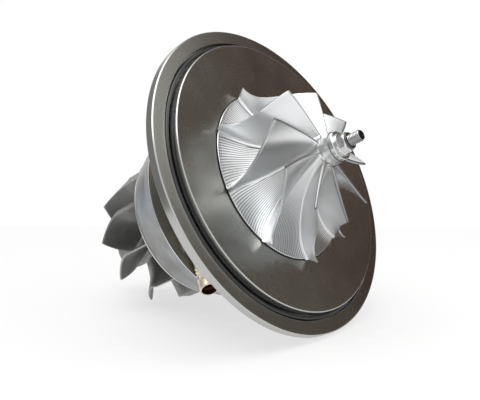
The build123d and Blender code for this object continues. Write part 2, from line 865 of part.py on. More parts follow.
def turbine_half_angle(x, radius):
    """Half the turbine blade's thickness as an angle."""
    share = (radius - turbine_hub_radius) / (turbine_inlet_radius - turbine_hub_radius)
    thickness = turbine_blade_root + share * (turbine_blade_tip - turbine_blade_root)
    length = turbine_turn_start - turbine_outlet_x
    rate = turbine_turn * turbine_turn_power * turbine_share(x) ** (turbine_turn_power - 1) / length
    return degrees(thickness / 2 * sqrt(1 + (radius * radians(rate)) ** 2) / radius)


# One turbine blade
turbine_cuts = [-79.0, -91.0, -103.0, -109.0, -115.0, -121.0, -128.0, -137.0]
turbine_radii = [9.0, 20.0, 30.0, 40.0, 50.0]
with BuildPart() as turbine_blade:
    loft(
        [
            blade_section(cut_x, turbine_radii, turbine_angle, turbine_half_angle)
            for cut_x in turbine_cuts
        ]
    )
    with BuildSketch(Plane.XZ):
        with BuildLine():
            inlet = Line(
                (turbine_inlet_front, turbine_inlet_radius), (turbine_inlet_back, turbine_inlet_radius)
            )
            outlet = Spline(
                inlet @ 1,
                (turbine_inlet_back - turbine_shroud_round, turbine_outlet_radius + turbine_shroud_rise),
                (turbine_outlet_x, turbine_outlet_radius),
            )
            Polyline(
                outlet @ 1,
                (turbine_outlet_root_x, turbine_hub_radius - turbine_root_sink),
                (turbine_inlet_front, turbine_hub_radius - turbine_root_sink),
                inlet @ 0,
            )
        make_face()
    revolve(axis=Axis.X, mode=Mode.INTERSECT)

# Turbine wheel: cast hub with a scalloped back disc and ten blades
turbine_inlet_angle = turbine_outlet_angle - turbine_turn
with BuildPart() as turbine_wheel:
    with BuildSketch(Plane.XZ):
        with BuildLine():
            turbine_curve = EllipticalCenterArc(
                (turbine_outlet_root_x, turbine_disc_radius),
                turbine_disc_front - turbine_outlet_root_x,
                turbine_disc_radius - turbine_hub_radius,
                start_angle=-90,
                arc_size=90,
            )
            Polyline(
                turbine_curve @ 1,
                (turbine_disc_back, turbine_disc_radius),
                (turbine_disc_back, hub_radius + turbine_boss_run),
                (wheel_joint, hub_radius),
                (wheel_joint, 0),
                (turbine_hub_end, 0),
                (turbine_hub_end, turbine_hub_radius),
                turbine_curve @ 0,
            )
        make_face()
    revolve(axis=Axis.X)
    fillet(turbine_wheel.edges().filter_by(GeomType.CIRCLE).sort_by(Axis.X)[0], turbine_hub_round)
    with BuildSketch(station(turbine_disc_back + past_face)):
        with PolarLocations(
            turbine_scallop_circle,
            turbine_blades,
            start_angle=turbine_inlet_angle + 180 / turbine_blades,
        ):
            Circle(turbine_scallop_radius)
    extrude(amount=turbine_inlet_back - turbine_disc_back, mode=Mode.SUBTRACT)
    add(
        [
            turbine_blade.part.rotate(Axis.X, number * 360 / turbine_blades)
            for number in range(turbine_blades)
        ]
    )

# Washer under the nut
with BuildPart() as nut_washer:
    with BuildSketch(station(nose_face)):
        Circle(washer_radius)
        Circle(thread_radius + bore_clearance, mode=Mode.SUBTRACT)
    extrude(amount=washer_thickness)
    fillet(nut_washer.edges().filter_by(GeomType.CIRCLE).sort_by(Axis.X)[-1], washer_round)

# Nut: round foot, hexagon and a crimped locking collar
with BuildPart() as compressor_nut:
    with BuildSketch(station(nut_face)):
        RegularPolygon(nut_across_flats / 2, 6, major_radius=False, rotation=nut_turn)
    extrude(amount=nut_height)
    with BuildSketch(Plane.XZ):
        with BuildLine():
            Polyline(
                (nut_face, 0),
                (nut_face, nut_across_flats / 2),
                (nut_face + nut_chamfer, nut_corner_radius),
                (nut_top - nut_chamfer, nut_corner_radius),
                (nut_top, nut_across_flats / 2),
                (nut_top, 0),
                close=True,
            )
        make_face()
    revolve(axis=Axis.X, mode=Mode.INTERSECT)
    with BuildSketch(station(nut_face)):
        Circle(nut_foot_radius)
    extrude(amount=nut_foot_height)
    with BuildSketch(station(nut_top)):
        Circle(nut_collar_radius)
    extrude(amount=nut_collar_height)
    with BuildSketch(station(nut_face - past_face)):
        Circle(thread_radius + thread_clearance)
    extrude(amount=nut_end - nut_face + 2 * past_face, mode=Mode.SUBTRACT)


def coolant_tube(side):
    """Bent brass tube in a coolant port: a ridged neck, a groove and a wider mouth."""
    root = Vector(coolant_x, -coolant_side, side * coolant_lug_reach)
    along = Vector(0, 0, side)
    outward = Vector(cos(radians(tube_bend_side)), side * sin(radians(tube_bend_side)), 0)
    bend_start = root + along * (tube_run + tube_groove_width)
    bend_plane = Plane(origin=bend_start, x_dir=along, z_dir=along.cross(outward))
    with BuildPart() as tube:
        with BuildSketch(Plane(origin=root - along * tube_shank, z_dir=along)):
            Circle(tube_neck_radius)
        extrude(amount=tube_shank + tube_run)
        for number in range(tube_ridges):
            ridge = root + along * (tube_run - tube_ridge_pitch * (number + 0.5))
            with BuildSketch(Plane(origin=ridge, z_dir=along)):
                Circle(tube_neck_radius + tube_ridge_height)
            extrude(amount=tube_ridge_pitch / 2)
        with BuildSketch(Plane(origin=root + along * tube_run, z_dir=along)):
            Circle(tube_neck_radius - tube_groove_depth)
        extrude(amount=tube_groove_width)
        with BuildLine(bend_plane) as route:
            bend = JernArc((0, 0), (1, 0), tube_bend_radius, tube_bend)
            Line(bend @ 1, (bend @ 1) + (bend % 1) * tube_mouth)
        with BuildSketch(Plane(origin=bend_start, z_dir=along)):
            Circle(tube_sleeve_radius)
        sweep(path=route.line)
        with BuildSketch(Plane(origin=bend_start, z_dir=along)):
            Circle(tube_neck_bore)
        sweep(path=route.line, mode=Mode.SUBTRACT)
        with BuildSketch(Plane(origin=root - along * tube_shank, z_dir=along)):
            Circle(tube_neck_bore)
        extrude(amount=tube_shank + tube_run + tube_groove_width, mode=Mode.SUBTRACT)
        mouth_way = along * cos(radians(tube_bend)) + outward * sin(radians(tube_bend))
        bend_end = bend_start + tube_bend_radius * (
            along * sin(radians(tube_bend)) + outward * (1 - cos(radians(tube_bend)))
        )
        mouth = bend_end + mouth_way * tube_mouth
        with BuildSketch(Plane(origin=mouth, z_dir=mouth_way)):
            Circle(tube_mouth_bore)
        extrude(amount=-tube_mouth_depth, mode=Mode.SUBTRACT)
    return tube


coolant_inlet_fitting = coolant_tube(-1)
coolant_outlet_fitting = coolant_tube(1)

# Lean of the shaft: the back edge of the rim and one turbine blade's tip are at one height
tip_from_bottom = turbine_outlet_angle + 3 * 360 / turbine_blades - 180
tip_height = turbine_outlet_radius * cos(radians(tip_from_bottom))
lean = degrees(atan2(rim_radius - tip_height, -rim_thickness - turbine_outlet_x))

pieces = {
    "backplate": backplate,
    "register_o_ring": register_o_ring,
    "backplate_seal_ring": backplate_seal_ring,
    "backplate_bolts": backplate_bolts,
    "bearing_housing": bearing_housing,
    "heat_shield": heat_shield,
    "coolant_inlet_fitting": coolant_inlet_fitting,
    "coolant_outlet_fitting": coolant_outlet_fitting,
    "compressor_side_bearing": compressor_side_bearing,
    "turbine_side_bearing": turbine_side_bearing,
    "bearing_snap_rings": bearing_snap_rings,
    "thrust_bearing": thrust_bearing,
    "thrust_bearing_pins": thrust_bearing_pins,
    "oil_deflector": oil_deflector,
    "compressor_seal_ring": compressor_seal_ring,
    "turbine_seal_ring": turbine_seal_ring,
    "thrust_collar": thrust_collar,
    "oil_flinger": oil_flinger,
    "shaft": shaft,
    "turbine_wheel": turbine_wheel,
    "compressor_wheel": compressor_wheel,
    "nut_washer": nut_washer,
    "compressor_nut": compressor_nut,
}
os.makedirs("parts", exist_ok=True)
for label, piece in pieces.items():
    piece.part.move(Location((0, 0, 0), (0, -lean, 0)))
    piece.part.label = label
    export_step(piece.part, f"parts/{label}.step")
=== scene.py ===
import json
from math import atan2, cos, hypot, pi, radians, sin, sqrt, tan, tau

import bmesh
import bpy
from mathutils import Matrix, Vector


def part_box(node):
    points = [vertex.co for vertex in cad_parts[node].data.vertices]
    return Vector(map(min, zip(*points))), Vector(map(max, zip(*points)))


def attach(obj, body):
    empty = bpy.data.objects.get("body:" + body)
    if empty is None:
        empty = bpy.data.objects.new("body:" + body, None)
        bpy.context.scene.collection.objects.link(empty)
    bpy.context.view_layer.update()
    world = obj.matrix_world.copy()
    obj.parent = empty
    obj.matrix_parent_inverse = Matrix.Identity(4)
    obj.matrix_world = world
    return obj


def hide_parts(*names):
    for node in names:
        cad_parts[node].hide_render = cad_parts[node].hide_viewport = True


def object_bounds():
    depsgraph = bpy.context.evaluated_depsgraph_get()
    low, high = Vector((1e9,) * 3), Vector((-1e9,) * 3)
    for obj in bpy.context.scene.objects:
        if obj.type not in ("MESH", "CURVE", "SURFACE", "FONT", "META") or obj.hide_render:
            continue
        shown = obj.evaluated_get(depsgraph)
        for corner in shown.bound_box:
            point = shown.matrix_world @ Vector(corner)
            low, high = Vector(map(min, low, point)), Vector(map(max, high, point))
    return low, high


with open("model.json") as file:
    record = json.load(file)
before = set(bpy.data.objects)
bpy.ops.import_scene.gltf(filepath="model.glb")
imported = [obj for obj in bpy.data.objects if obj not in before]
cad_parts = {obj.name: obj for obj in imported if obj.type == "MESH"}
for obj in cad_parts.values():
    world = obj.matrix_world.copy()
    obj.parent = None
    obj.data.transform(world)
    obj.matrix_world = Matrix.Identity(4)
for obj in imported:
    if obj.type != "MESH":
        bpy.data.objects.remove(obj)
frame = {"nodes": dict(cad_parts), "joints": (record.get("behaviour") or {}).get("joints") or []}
cad_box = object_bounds()

# The cartridge lies on a bench, so its shaft leans. Every piece is drawn in millimetres round a
# level shaft, as on a drawing: X along the shaft to the compressor, and angles from +Z to -Y.
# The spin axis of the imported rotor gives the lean.
mm = 0.001
rotor_axis = Vector(next(joint["axis"] for joint in frame["joints"] if joint["name"] == "rotor_spin"))
lean = atan2(rotor_axis.z, rotor_axis.x)
laid_down = Matrix.Rotation(-lean, 4, "Y") @ Matrix.Scale(mm, 4)


# Bearing housing: grey iron casting, oiled dark on its rough skin, with a cone flange for the
# turbine housing that is turned bright. The oil, drain and coolant faces are milled flat.
class Reading:
    """What comes out of a node. It can stand in a sum, a difference, a product or a quotient."""

    def __init__(self, nodes, socket):
        self.nodes = nodes
        self.socket = socket

    def __add__(self, other):
        return self.nodes.maths("ADD", self, other)

    __radd__ = __add__

    def __sub__(self, other):
        return self.nodes.maths("SUBTRACT", self, other)

    def __rsub__(self, other):
        return self.nodes.maths("SUBTRACT", other, self)

    def __mul__(self, other):
        return self.nodes.maths("MULTIPLY", self, other)

    __rmul__ = __mul__

    def __truediv__(self, other):
        return self.nodes.maths("DIVIDE", self, other)


class Nodes:
    """A node tree, and the one method that makes every node in it."""

    def __init__(self, tree):
        self.tree = tree

    def plug(self, socket, value):
        if isinstance(value, Reading):
            self.tree.links.new(value.socket, socket)
        elif socket.type == "RGBA":
            socket.default_value = (*value, 1.0)
        else:
            socket.default_value = value

    def node(self, kind, settings=None, inputs=None, output=0):
        made = self.tree.nodes.new(kind)
        for name, value in (settings or {}).items():
            if name == "stops":
                while len(made.color_ramp.elements) < len(value):
                    made.color_ramp.elements.new(1.0)
                for element, (place, colour) in zip(made.color_ramp.elements, value):
                    element.position = place
                    element.color = (*colour, 1.0)
            else:
                setattr(made, name, value)
        for name, value in (inputs or {}).items():
            self.plug(made.inputs[name], value)
        return Reading(self, made.outputs[output]) if len(made.outputs) else None

    def maths(self, operation, first, second=0.0):
        return self.node("ShaderNodeMath", {"operation": operation}, {0: first, 1: second})

    def between(self, value, low, high):
        """0 below low, 1 above high, and a smooth rise from one to the other."""
        settings = {"interpolation_type": "SMOOTHSTEP"}
        return self.node("ShaderNodeMapRange", settings, {0: value, 1: low, 2: high})

    def mix(self, share, first, second):
        """Mixes two colours."""
        return self.node("ShaderNodeMix", {"data_type": "RGBA"}, {0: share, 6: first, 7: second}, 2)


class Finish(Nodes):
    """A surface finish: one material, and the nodes in front of its shader."""

    def __init__(self, name, **sockets):
        self.material = bpy.data.materials.new(name)
        self.material.use_nodes = True
        super().__init__(self.material.node_tree)
        self.shader = self.tree.nodes["Principled BSDF"]
        self.set(**sockets)

    def set(self, **sockets):
        for name, value in sockets.items():
            self.plug(self.shader.inputs[name.replace("_", " ")], value)

    def noise(self, scale, detail):
        """Cloudy noise. The scale counts cells per metre on Object coordinates."""
        place = self.node("ShaderNodeTexCoord", output="Object")
        return self.node("ShaderNodeTexNoise", {}, {"Vector": place, "Scale": scale, "Detail": detail})

    def part(self, vector, axis):
        return self.node("ShaderNodeSeparateXYZ", {}, {0: vector}, axis)

    def drawn(self):
        """The place on the drawing, in millimetres."""
        place = self.node("ShaderNodeTexCoord", output="Object")
        level = {"Vector": place, "Rotation": (0.0, lean, 0.0), "Scale": (1 / mm, 1 / mm, 1 / mm)}
        return self.node("ShaderNodeMapping", {}, level)

    def along(self):
        """Millimetres along the shaft."""
        return self.part(self.drawn(), "X")

    def out(self):
        """Millimetres out from the shaft's axis."""
        across_shaft = {0: self.drawn(), 1: (0.0, 1.0, 1.0)}
        flat = self.node("ShaderNodeVectorMath", {"operation": "MULTIPLY"}, across_shaft)
        return self.node("ShaderNodeVectorMath", {"operation": "LENGTH"}, {0: flat}, "Value")

    def rings(self, place, pitch):
        """Tool marks of a lathe: noise along one line only, so that it makes rings. Pitch in mm."""
        along_line = {"W": place / pitch, "Detail": 3.0}
        return self.node("ShaderNodeTexNoise", {"noise_dimensions": "1D"}, along_line)

    def relief(self, height, depth):
        """Turns a height from 0 to 1 into relief of that depth in millimetres."""
        full = {"Strength": 1.0, "Distance": depth * mm, "Height": height}
        self.set(Normal=self.node("ShaderNodeBump", {}, full))


def dress(finish, *names):
    """Gives CAD nodes their finish."""
    for name in names:
        materials = frame["nodes"][name].data.materials
        materials.clear()
        materials.append(finish.material)


cone_front = -48.0
cone_land = 0.9
shield_seam = -75.6
machined_radius = 47.0
crease = -57.0
grain_depth = 0.12
ring_depth = 0.004
strip_slope = 0.1
edge_slope = 1.2
cast_dark = (0.35, 0.36, 0.34)
cast_brown = (0.42, 0.38, 0.31)
cone_light = (0.31, 0.325, 0.34)
cone_warm = (0.21, 0.20, 0.19)
edge_highlight_white = (0.95, 0.95, 0.94)
seam_shade_colour = (0.05, 0.05, 0.05)

housing = Finish("cast_and_turned_iron", Metallic=1.0)
along = housing.along()
on_cone = housing.between(housing.out(), machined_radius, machined_radius + 0.3) * (
    1 - housing.between(along, cone_front - 0.15, cone_front - 0.05)
)
patches = housing.noise(45.0, 3.0)
grain = housing.noise(900.0, 4.0)
# Painted highlight: a near-white line painted along the cone's front edge.
cone_edge_highlight = housing.between(along, cone_front - 1.0, cone_front - 0.7) * on_cone
# Painted shade: a near-black line painted round the seam in front of the heat shield.
seam_shade = 1 - housing.between(housing.maths("ABSOLUTE", along - shield_seam), 0.1, 0.4)
cast_colour = housing.mix(housing.between(patches, 0.35, 0.7), cast_dark, cast_brown)
cone_colour = housing.mix(housing.between(patches, 0.3, 0.75), cone_light, cone_warm)
cone_colour = housing.mix(cone_edge_highlight, cone_colour, edge_highlight_white)
cone_colour = housing.mix(seam_shade, cone_colour, seam_shade_colour)
housing.set(
    Base_Color=housing.mix(on_cone, cast_colour, cone_colour),
    Roughness=0.52 - on_cone * 0.28 + grain * 0.12,
)
strip = housing.maths("MAXIMUM", along - crease, 0.0) * strip_slope
round_edge = housing.maths("MAXIMUM", along - (cone_front - cone_land), 0.0) * edge_slope
turned = housing.rings(along, 0.35) * ring_depth + strip - round_edge
housing.relief((1 - on_cone) * grain * grain_depth + on_cone * turned, 1.0)
dress(housing, "bearing_housing")

# Inner parts: two floating bushes and the thrust bearing in bearing bronze, ground steel collar,
# flinger and pins, spring steel rings, and a pressed sheet deflector. All run in oil.
bronze = Finish("bearing_bronze", Metallic=1.0)
tarnish = bronze.between(bronze.noise(160.0, 4.0), 0.4, 0.75)
bronze.set(
    Base_Color=bronze.mix(tarnish, (0.72, 0.50, 0.24), (0.46, 0.29, 0.14)),
    Roughness=0.26 + tarnish * 0.16,
)
bronze.relief(bronze.rings(bronze.along() + bronze.out(), 0.2), 0.01)
dress(bronze, "compressor_side_bearing", "turbine_side_bearing", "thrust_bearing")

ground = Finish("ground_steel", Metallic=1.0)
oil_film = ground.between(ground.noise(120.0, 3.0), 0.45, 0.8)
ground.set(
    Base_Color=ground.mix(oil_film, (0.60, 0.60, 0.61), (0.42, 0.38, 0.32)),
    Roughness=0.18 + oil_film * 0.14,
)
ground.relief(ground.rings(ground.along() + ground.out(), 0.15), 0.006)
dress(ground, "thrust_collar", "oil_flinger", "thrust_bearing_pins")

spring = Finish("oiled_spring_steel", Metallic=1.0)
blued = spring.between(spring.noise(220.0, 3.0), 0.4, 0.7)
spring.set(
    Base_Color=spring.mix(blued, (0.16, 0.16, 0.17), (0.32, 0.30, 0.28)),
    Roughness=0.30 + blued * 0.12,
)
spring.relief(spring.noise(1500.0, 2.0), 0.01)
dress(spring, "bearing_snap_rings", "compressor_seal_ring", "turbine_seal_ring", "oil_deflector")


# Backplate: forged steel disc, turned all over. The dished front ends in a raised register for the
# compressor cover, with a ring groove beside it, and one stretch of the rim's back is milled away.
def rounded(corners, steps=4, hold=0.12):
    """Rounds the corners of a closed outline. A corner is (x, radius, round), all in millimetres."""
    outline = []
    for index, (x, radius, round_radius) in enumerate(corners):
        here = Vector((x, radius))
        if round_radius == 0:
            outline.append(here)
            continue
        before = (Vector(corners[index - 1][:2]) - here).normalized()
        after = (Vector(corners[(index + 1) % len(corners)][:2]) - here).normalized()
        half = before.angle(after) / 2
        reach = round_radius / tan(half)
        centre = here + (before + after).normalized() * round_radius / sin(half)
        first = here + before * reach - centre
        last = here + after * reach - centre
        turn = first.angle(last)
        outline.append(here + before * (reach + hold))
        for step in range(steps + 1):
            share = step / steps
            bend = (first * sin((1 - share) * turn) + last * sin(share * turn)) / sin(turn)
            outline.append(centre + bend)
        outline.append(here + after * (reach + hold))
    return outline


def straight(x, radius, angle):
    """Where a point of a turned outline lies, at an angle in degrees round the shaft."""
    return Vector((x, -radius * sin(radians(angle)), radius * cos(radians(angle))))


def even_angles(count):
    return [360 * number / count for number in range(count)]


def revolved(outline, angles, place=straight):
    """Carries a closed outline round its axis, and closes it where it meets the axis."""
    shape = bmesh.new()
    rings = []
    for x, radius in outline:
        if radius < 1e-6:
            rings.append([shape.verts.new(place(x, 0.0, 0.0))])
        else:
            rings.append([shape.verts.new(place(x, radius, angle)) for angle in angles])
    for ring, following in zip(rings, rings[1:] + rings[:1]):
        for index in range(len(angles)):
            after = (index + 1) % len(angles)
            corners = [ring[index % len(ring)], ring[after % len(ring)]]
            corners += [following[after % len(following)], following[index % len(following)]]
            corners = list(dict.fromkeys(corners))
            if len(corners) > 2:
                shape.faces.new(corners)
    bmesh.ops.recalc_face_normals(shape, faces=shape.faces)
    return shape


def new_object(name, data):
    made = bpy.data.objects.new(name, data)
    bpy.context.collection.objects.link(made)
    return made


def as_object(name, shape):
    """Makes an object of a drawn shape."""
    mesh = bpy.data.meshes.new(name)
    shape.to_mesh(mesh)
    shape.free()
    return new_object(name, mesh)


def smooth(piece, sharp):
    """Shades a piece smooth, except at edges that turn by more than this many degrees."""
    piece.data.shade_smooth()
    piece.data.set_sharp_from_angle(angle=radians(sharp))


def make_piece(name, shape, finish, sharp=60.0):
    """Lays a drawn shape down on the bench as a piece with its finish."""
    piece = as_object(name, shape)
    piece.data.transform(laid_down)
    smooth(piece, sharp)
    piece.data.materials.append(finish.material)
    return piece


rim_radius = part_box("backplate")[1].y / mm
rim_thickness = 5.5
rim_chamfer = 0.6
rim_land = 6.0
register_radius = 88.0
register_height = 5.2
register_chamfer = 0.5
register_undercut = 0.6
groove_width = 3.9
groove_depth = 2.95
pocket_radius = 54.95
pocket_rim = -0.34
dish_edge = 1.0
hub_floor = -5.4
hub_floor_radius = 15.0
plate_bore = 11.05
neck_back = 9.0
neck_radius = 62.0
hub_radius = 54.0
hub_step = 12.0
hub_back = 14.0
spigot_radius = 34.0
spigot_back = 17.0
spigot_groove_front = 14.3
spigot_groove_back = 16.7
spigot_groove_floor = 31.86
foot_back = 19.6
foot_outer = 30.0
foot_inner = 24.5
relief_depth = 1.1
relief_start = 121.0
relief_end = 167.0
fine = 0.15
soft = 0.3
face_ring = 1.1
wide_ring = 2.4
joint_shade = 0.25
face_grey_lit = (0.40, 0.40, 0.375)
face_brown_shaded = (0.235, 0.195, 0.17)
joint_shade_colour = (0.10, 0.11, 0.09)
bare_steel_and_highlight = (0.50, 0.50, 0.49)

plate_corners = [
    (hub_floor, plate_bore, fine),
    (hub_floor, hub_floor_radius, soft),
    (pocket_rim, pocket_radius, soft),
    (dish_edge, pocket_radius, fine),
    (register_height, register_radius - register_chamfer, fine),
    (register_height - register_chamfer, register_radius, fine),
    (0.0, register_radius, 0),
    (0.0, register_radius - register_undercut, 0),
    (-groove_depth, register_radius - register_undercut, fine),
    (-groove_depth, register_radius + groove_width, fine),
    (0.0, register_radius + groove_width, soft),
    (0.0, rim_radius - rim_chamfer, fine),
    (-rim_chamfer, rim_radius, fine),
    (-rim_thickness, rim_radius, soft),
    (-rim_thickness, rim_radius - rim_land, soft),
    (-neck_back, neck_radius, 1.0),
    (-hub_step, hub_radius, soft),
    (-hub_back, hub_radius, soft),
    (-hub_back, spigot_radius, 0),
    (-spigot_groove_front, spigot_radius, 0),
    (-spigot_groove_front, spigot_groove_floor, 0),
    (-spigot_groove_back, spigot_groove_floor, 0),
    (-spigot_groove_back, spigot_radius, 0),
    (-spigot_back, spigot_radius, 0),
    (-spigot_back, foot_outer, 0),
    (-foot_back, foot_outer, 0),
    (-foot_back, foot_inner, 0),
    (-spigot_back, foot_inner, 0),
    (-spigot_back, plate_bore, 0),
]


def with_relief(x, radius, angle):
    """Lifts the back of the rim along the milled stretch."""
    milled = relief_start < angle < relief_end and radius > rim_radius - rim_land - fine
    return straight(max(x, relief_depth - rim_thickness) if milled else x, radius, angle)


step_width = 0.02
plate_steps = 288
plate_angles = even_angles(plate_steps)
for edge in (relief_start, relief_end):
    plate_angles += [edge - step_width, edge + step_width]

plate = Finish("turned_plate_steel", Metallic=1.0)
out = plate.out()
front = plate.between(plate.along(), -0.3, 0.1)
# Painted highlights: the chamfers of the rim and of the register are painted in the bright bare-steel
# colour. Everything behind the front face is bare steel in that colour too.
rim_edge_highlight = plate.between(out, rim_radius - rim_chamfer * 1.4, rim_radius - rim_chamfer * 0.9)
register_edge_highlight = plate.between(out, register_radius - 1.0, register_radius - 0.6) * (
    1 - plate.between(out, register_radius + 0.2, register_radius + 0.4)
)
joint_face = plate.between(out, register_radius + groove_width, register_radius + groove_width + 0.3)
drawn = plate.drawn()
# Painted shading: the face turns from grey on one side of the plate to darker brown on the other, a
# painted gradient of light broken up by noise.
aside = (plate.part(drawn, "Y") + plate.part(drawn, "Z") * 0.25) / 100.0
side_shade = plate.between(aside + plate.noise(14.0, 3.0) * 0.5, -0.35, 0.75)
face_colour = plate.mix(side_shade, face_grey_lit, face_brown_shaded)
# Painted shade: the flat joint face outside the groove is darkened a quarter of the way to dark olive.
face_colour = plate.mix(joint_face * joint_shade, face_colour, joint_shade_colour)
edge_highlight_and_bare_side = plate.maths("MAXIMUM", plate.maths("MAXIMUM", rim_edge_highlight, register_edge_highlight), 1 - front)
rings = plate.rings(out, wide_ring) * 0.06 + plate.rings(out, face_ring) * 0.04
plate.set(
    Base_Color=plate.mix(edge_highlight_and_bare_side, face_colour, bare_steel_and_highlight),
    Roughness=0.15 + plate.noise(60.0, 5.0) * 0.12 + rings,
)

backplate = make_piece(
    "turned_backplate", revolved(rounded(plate_corners), sorted(plate_angles), with_relief), plate
)

# Screw holes: six plain holes through the plate, each counterbored from the pocket behind the
# wheel, so that the head of its socket screw lies below the floor.
screw_circle = 40.0
screw_start = 30.0
screw_count = 6
screw_hole = 3.2
screw_head_hole = 5.2
screw_seat = -8.31
past_face = 2.0


def settle(piece, helpers):
    """Keeps what a piece's modifiers make as its plain mesh, and clears their helpers away."""
    graph = bpy.context.evaluated_depsgraph_get()
    made = bpy.data.meshes.new_from_object(piece.evaluated_get(graph), depsgraph=graph)
    piece.modifiers.clear()
    piece.data = made
    for helper in helpers:
        bpy.data.objects.remove(helper)


cutters = []
for angle in even_angles(screw_count):
    for back, ahead, radius in (
        (-hub_back - past_face, screw_seat + 1, screw_hole),
        (screw_seat, past_face, screw_head_hole),
    ):
        drill = revolved([(back, 0.0), (back, radius), (ahead, radius), (ahead, 0.0)], even_angles(32))
        to_circle = straight(0.0, screw_circle, screw_start + angle)
        bmesh.ops.translate(drill, verts=drill.verts, vec=to_circle)
        cutters.append(make_piece("drill", drill, plate))
        cut = backplate.modifiers.new("cut", "BOOLEAN")
        cut.operation = "DIFFERENCE"
        cut.object = cutters[-1]
settle(backplate, cutters)
smooth(backplate, 35)
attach(backplate, "housing")
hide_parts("backplate")

# Rubber rings: one in the face groove, one on the spigot. Moulded black rubber with a fine
# parting line and a little dust.
rubber = Finish("black_rubber", Metallic=0.0, Specular_IOR_Level=0.7)
dust = rubber.between(rubber.noise(50.0, 2.0), 0.45, 0.8)
rubber.set(
    Base_Color=rubber.mix(dust, (0.012, 0.012, 0.013), (0.030, 0.029, 0.027)),
    Roughness=0.30 + dust * 0.08,
)

ring_section = 2.8
ring_x = -ring_section / 2 - 0.1
ring_radius = register_radius + (groove_width - register_undercut) / 2
ring_steps = 28
mould_line = 0.05

ring_outline = []
for step in range(ring_steps):
    turn = tau * step / ring_steps
    reach = ring_section / 2 - (mould_line if step % (ring_steps // 2) else 0)
    ring_outline.append(Vector((ring_x + reach * sin(turn), ring_radius + reach * cos(turn))))
register_ring = make_piece("register_ring", revolved(ring_outline, even_angles(plate_steps)), rubber)
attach(register_ring, "housing")
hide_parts("register_o_ring")
dress(rubber, "backplate_seal_ring")

# Backplate screws: six socket screws of black oxide steel. They sit in the counterbores behind
# the wheel and hold the plate to the housing.
oxide = Finish("black_oxide", Metallic=0.6)
rub = oxide.between(oxide.noise(400.0, 3.0), 0.55, 0.8)
oxide.set(
    Base_Color=oxide.mix(rub, (0.03, 0.03, 0.032), (0.16, 0.15, 0.14)),
    Roughness=0.42 - rub * 0.1,
)
oxide.relief(oxide.noise(1800.0, 2.0), 0.02)
dress(oxide, "backplate_bolts")

# Heat shield: pressed stainless sheet between the housing and the turbine wheel. Its thin edge
# shows as a bright lip behind the cone, and heat has tinted the side towards the wheel.
shield_front = -77.8
shield_sheet = 1.2
shield_dish = 0.5
shield_radius = 52.3
shield_step = 45.0
shield_bore = 12.45
dish_back = shield_front - shield_dish - shield_sheet
tint_start = 18.0
tint_reach = 33.0
tint_stops = [
    (0.0, (0.30, 0.27, 0.33)),
    (0.35, (0.42, 0.33, 0.24)),
    (0.7, (0.52, 0.46, 0.36)),
    (1.0, (0.62, 0.61, 0.60)),
]

shield_corners = [
    (shield_front, shield_radius, soft),
    (shield_front, shield_step + 1.0, fine),
    (shield_front - shield_dish, shield_step - 1.0, fine),
    (shield_front - shield_dish, shield_bore, fine),
    (dish_back, shield_bore, fine),
    (dish_back, shield_step - 0.6, fine),
    (shield_front - shield_sheet, shield_step + 1.4, fine),
    (shield_front - shield_sheet, shield_radius, soft),
]
stainless = Finish("tinted_stainless", Metallic=1.0)
out = stainless.out()
heated = (out - tint_start) / tint_reach + stainless.noise(80.0, 3.0) * 0.2
stainless.set(
    Base_Color=stainless.node("ShaderNodeValToRGB", {"stops": tint_stops}, {0: heated}),
    Roughness=0.30 + stainless.noise(200.0, 3.0) * 0.15,
)
stainless.relief(stainless.rings(out, 0.6), 0.02)
shield = make_piece("pressed_heat_shield", revolved(rounded(shield_corners), even_angles(192)), stainless)
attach(shield, "housing")
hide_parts("heat_shield")

# Coolant tubes: drawn brass, one in each coolant port. Three rolled ridges and a groove hold the
# wider sleeve, which bends outwards and ends in an open mouth.
port = Vector((-42.0, -47.0, 0.0))
port_reach = 27.0
shank = 9.0
run = 16.6
tube_radius = 4.9
tube_bore = 3.4
ridge_count = 3
ridge_pitch = 2.0
ridge_height = 0.5
ridge_slope = 0.15
tube_groove = 1.8
groove_radius = 4.3
sleeve_radius = 5.8
sleeve_bore = 4.8
sleeve_depth = 4.0
bend_radius = 7.0
bend_angle = radians(33.0)
bend_side = radians(52.0)
mouth_run = 4.7
bend_from = run + tube_groove
bend_length = bend_radius * bend_angle
tube_end = bend_from + bend_length + mouth_run
wall_step = 0.5
lip_rows = 5

brass = Finish("drawn_brass", Metallic=1.0)
worn = brass.between(brass.noise(260.0, 4.0), 0.35, 0.75)
# Painted shade: the inside of the tube is painted dark brown.
bore = brass.node("ShaderNodeAttribute", {"attribute_name": "bore"}, output="Fac")
outside = brass.mix(worn, (0.93, 0.86, 0.73), (0.80, 0.69, 0.52))
brass.set(
    Base_Color=brass.mix(bore, outside, (0.17, 0.085, 0.04)),
    Roughness=0.42 + worn * 0.14,
)
brass.relief(brass.noise(1400.0, 3.0), 0.015)

tube_corners = [(-shank, tube_bore, 0), (-shank, tube_radius, 0)]
for number in reversed(range(ridge_count)):
    start = run - ridge_pitch * (number + 0.5)
    end = start + ridge_pitch / 2
    tube_corners += [
        (start, tube_radius, 0.12),
        (start + ridge_slope, tube_radius + ridge_height, 0.2),
        (end - ridge_slope, tube_radius + ridge_height, 0.2),
        (end, tube_radius if number else groove_radius, 0.1),
    ]
tube_corners += [
    (bend_from, groove_radius, 0.1),
    (bend_from, sleeve_radius, 0.35),
    (tube_end, sleeve_radius, 0.4),
    (tube_end, sleeve_bore, 0.3),
    (tube_end - sleeve_depth, sleeve_bore, 0.2),
    (tube_end - sleeve_depth, tube_bore, 0.2),
]
tube_walls = rounded(tube_corners, hold=0.05)
tube_outline = []
for point, after in zip(tube_walls, tube_walls[1:] + tube_walls[:1]):
    steps = max(1, int(abs(after.x - point.x) / wall_step))
    tube_outline += [point.lerp(after, step / steps) for step in range(steps)]


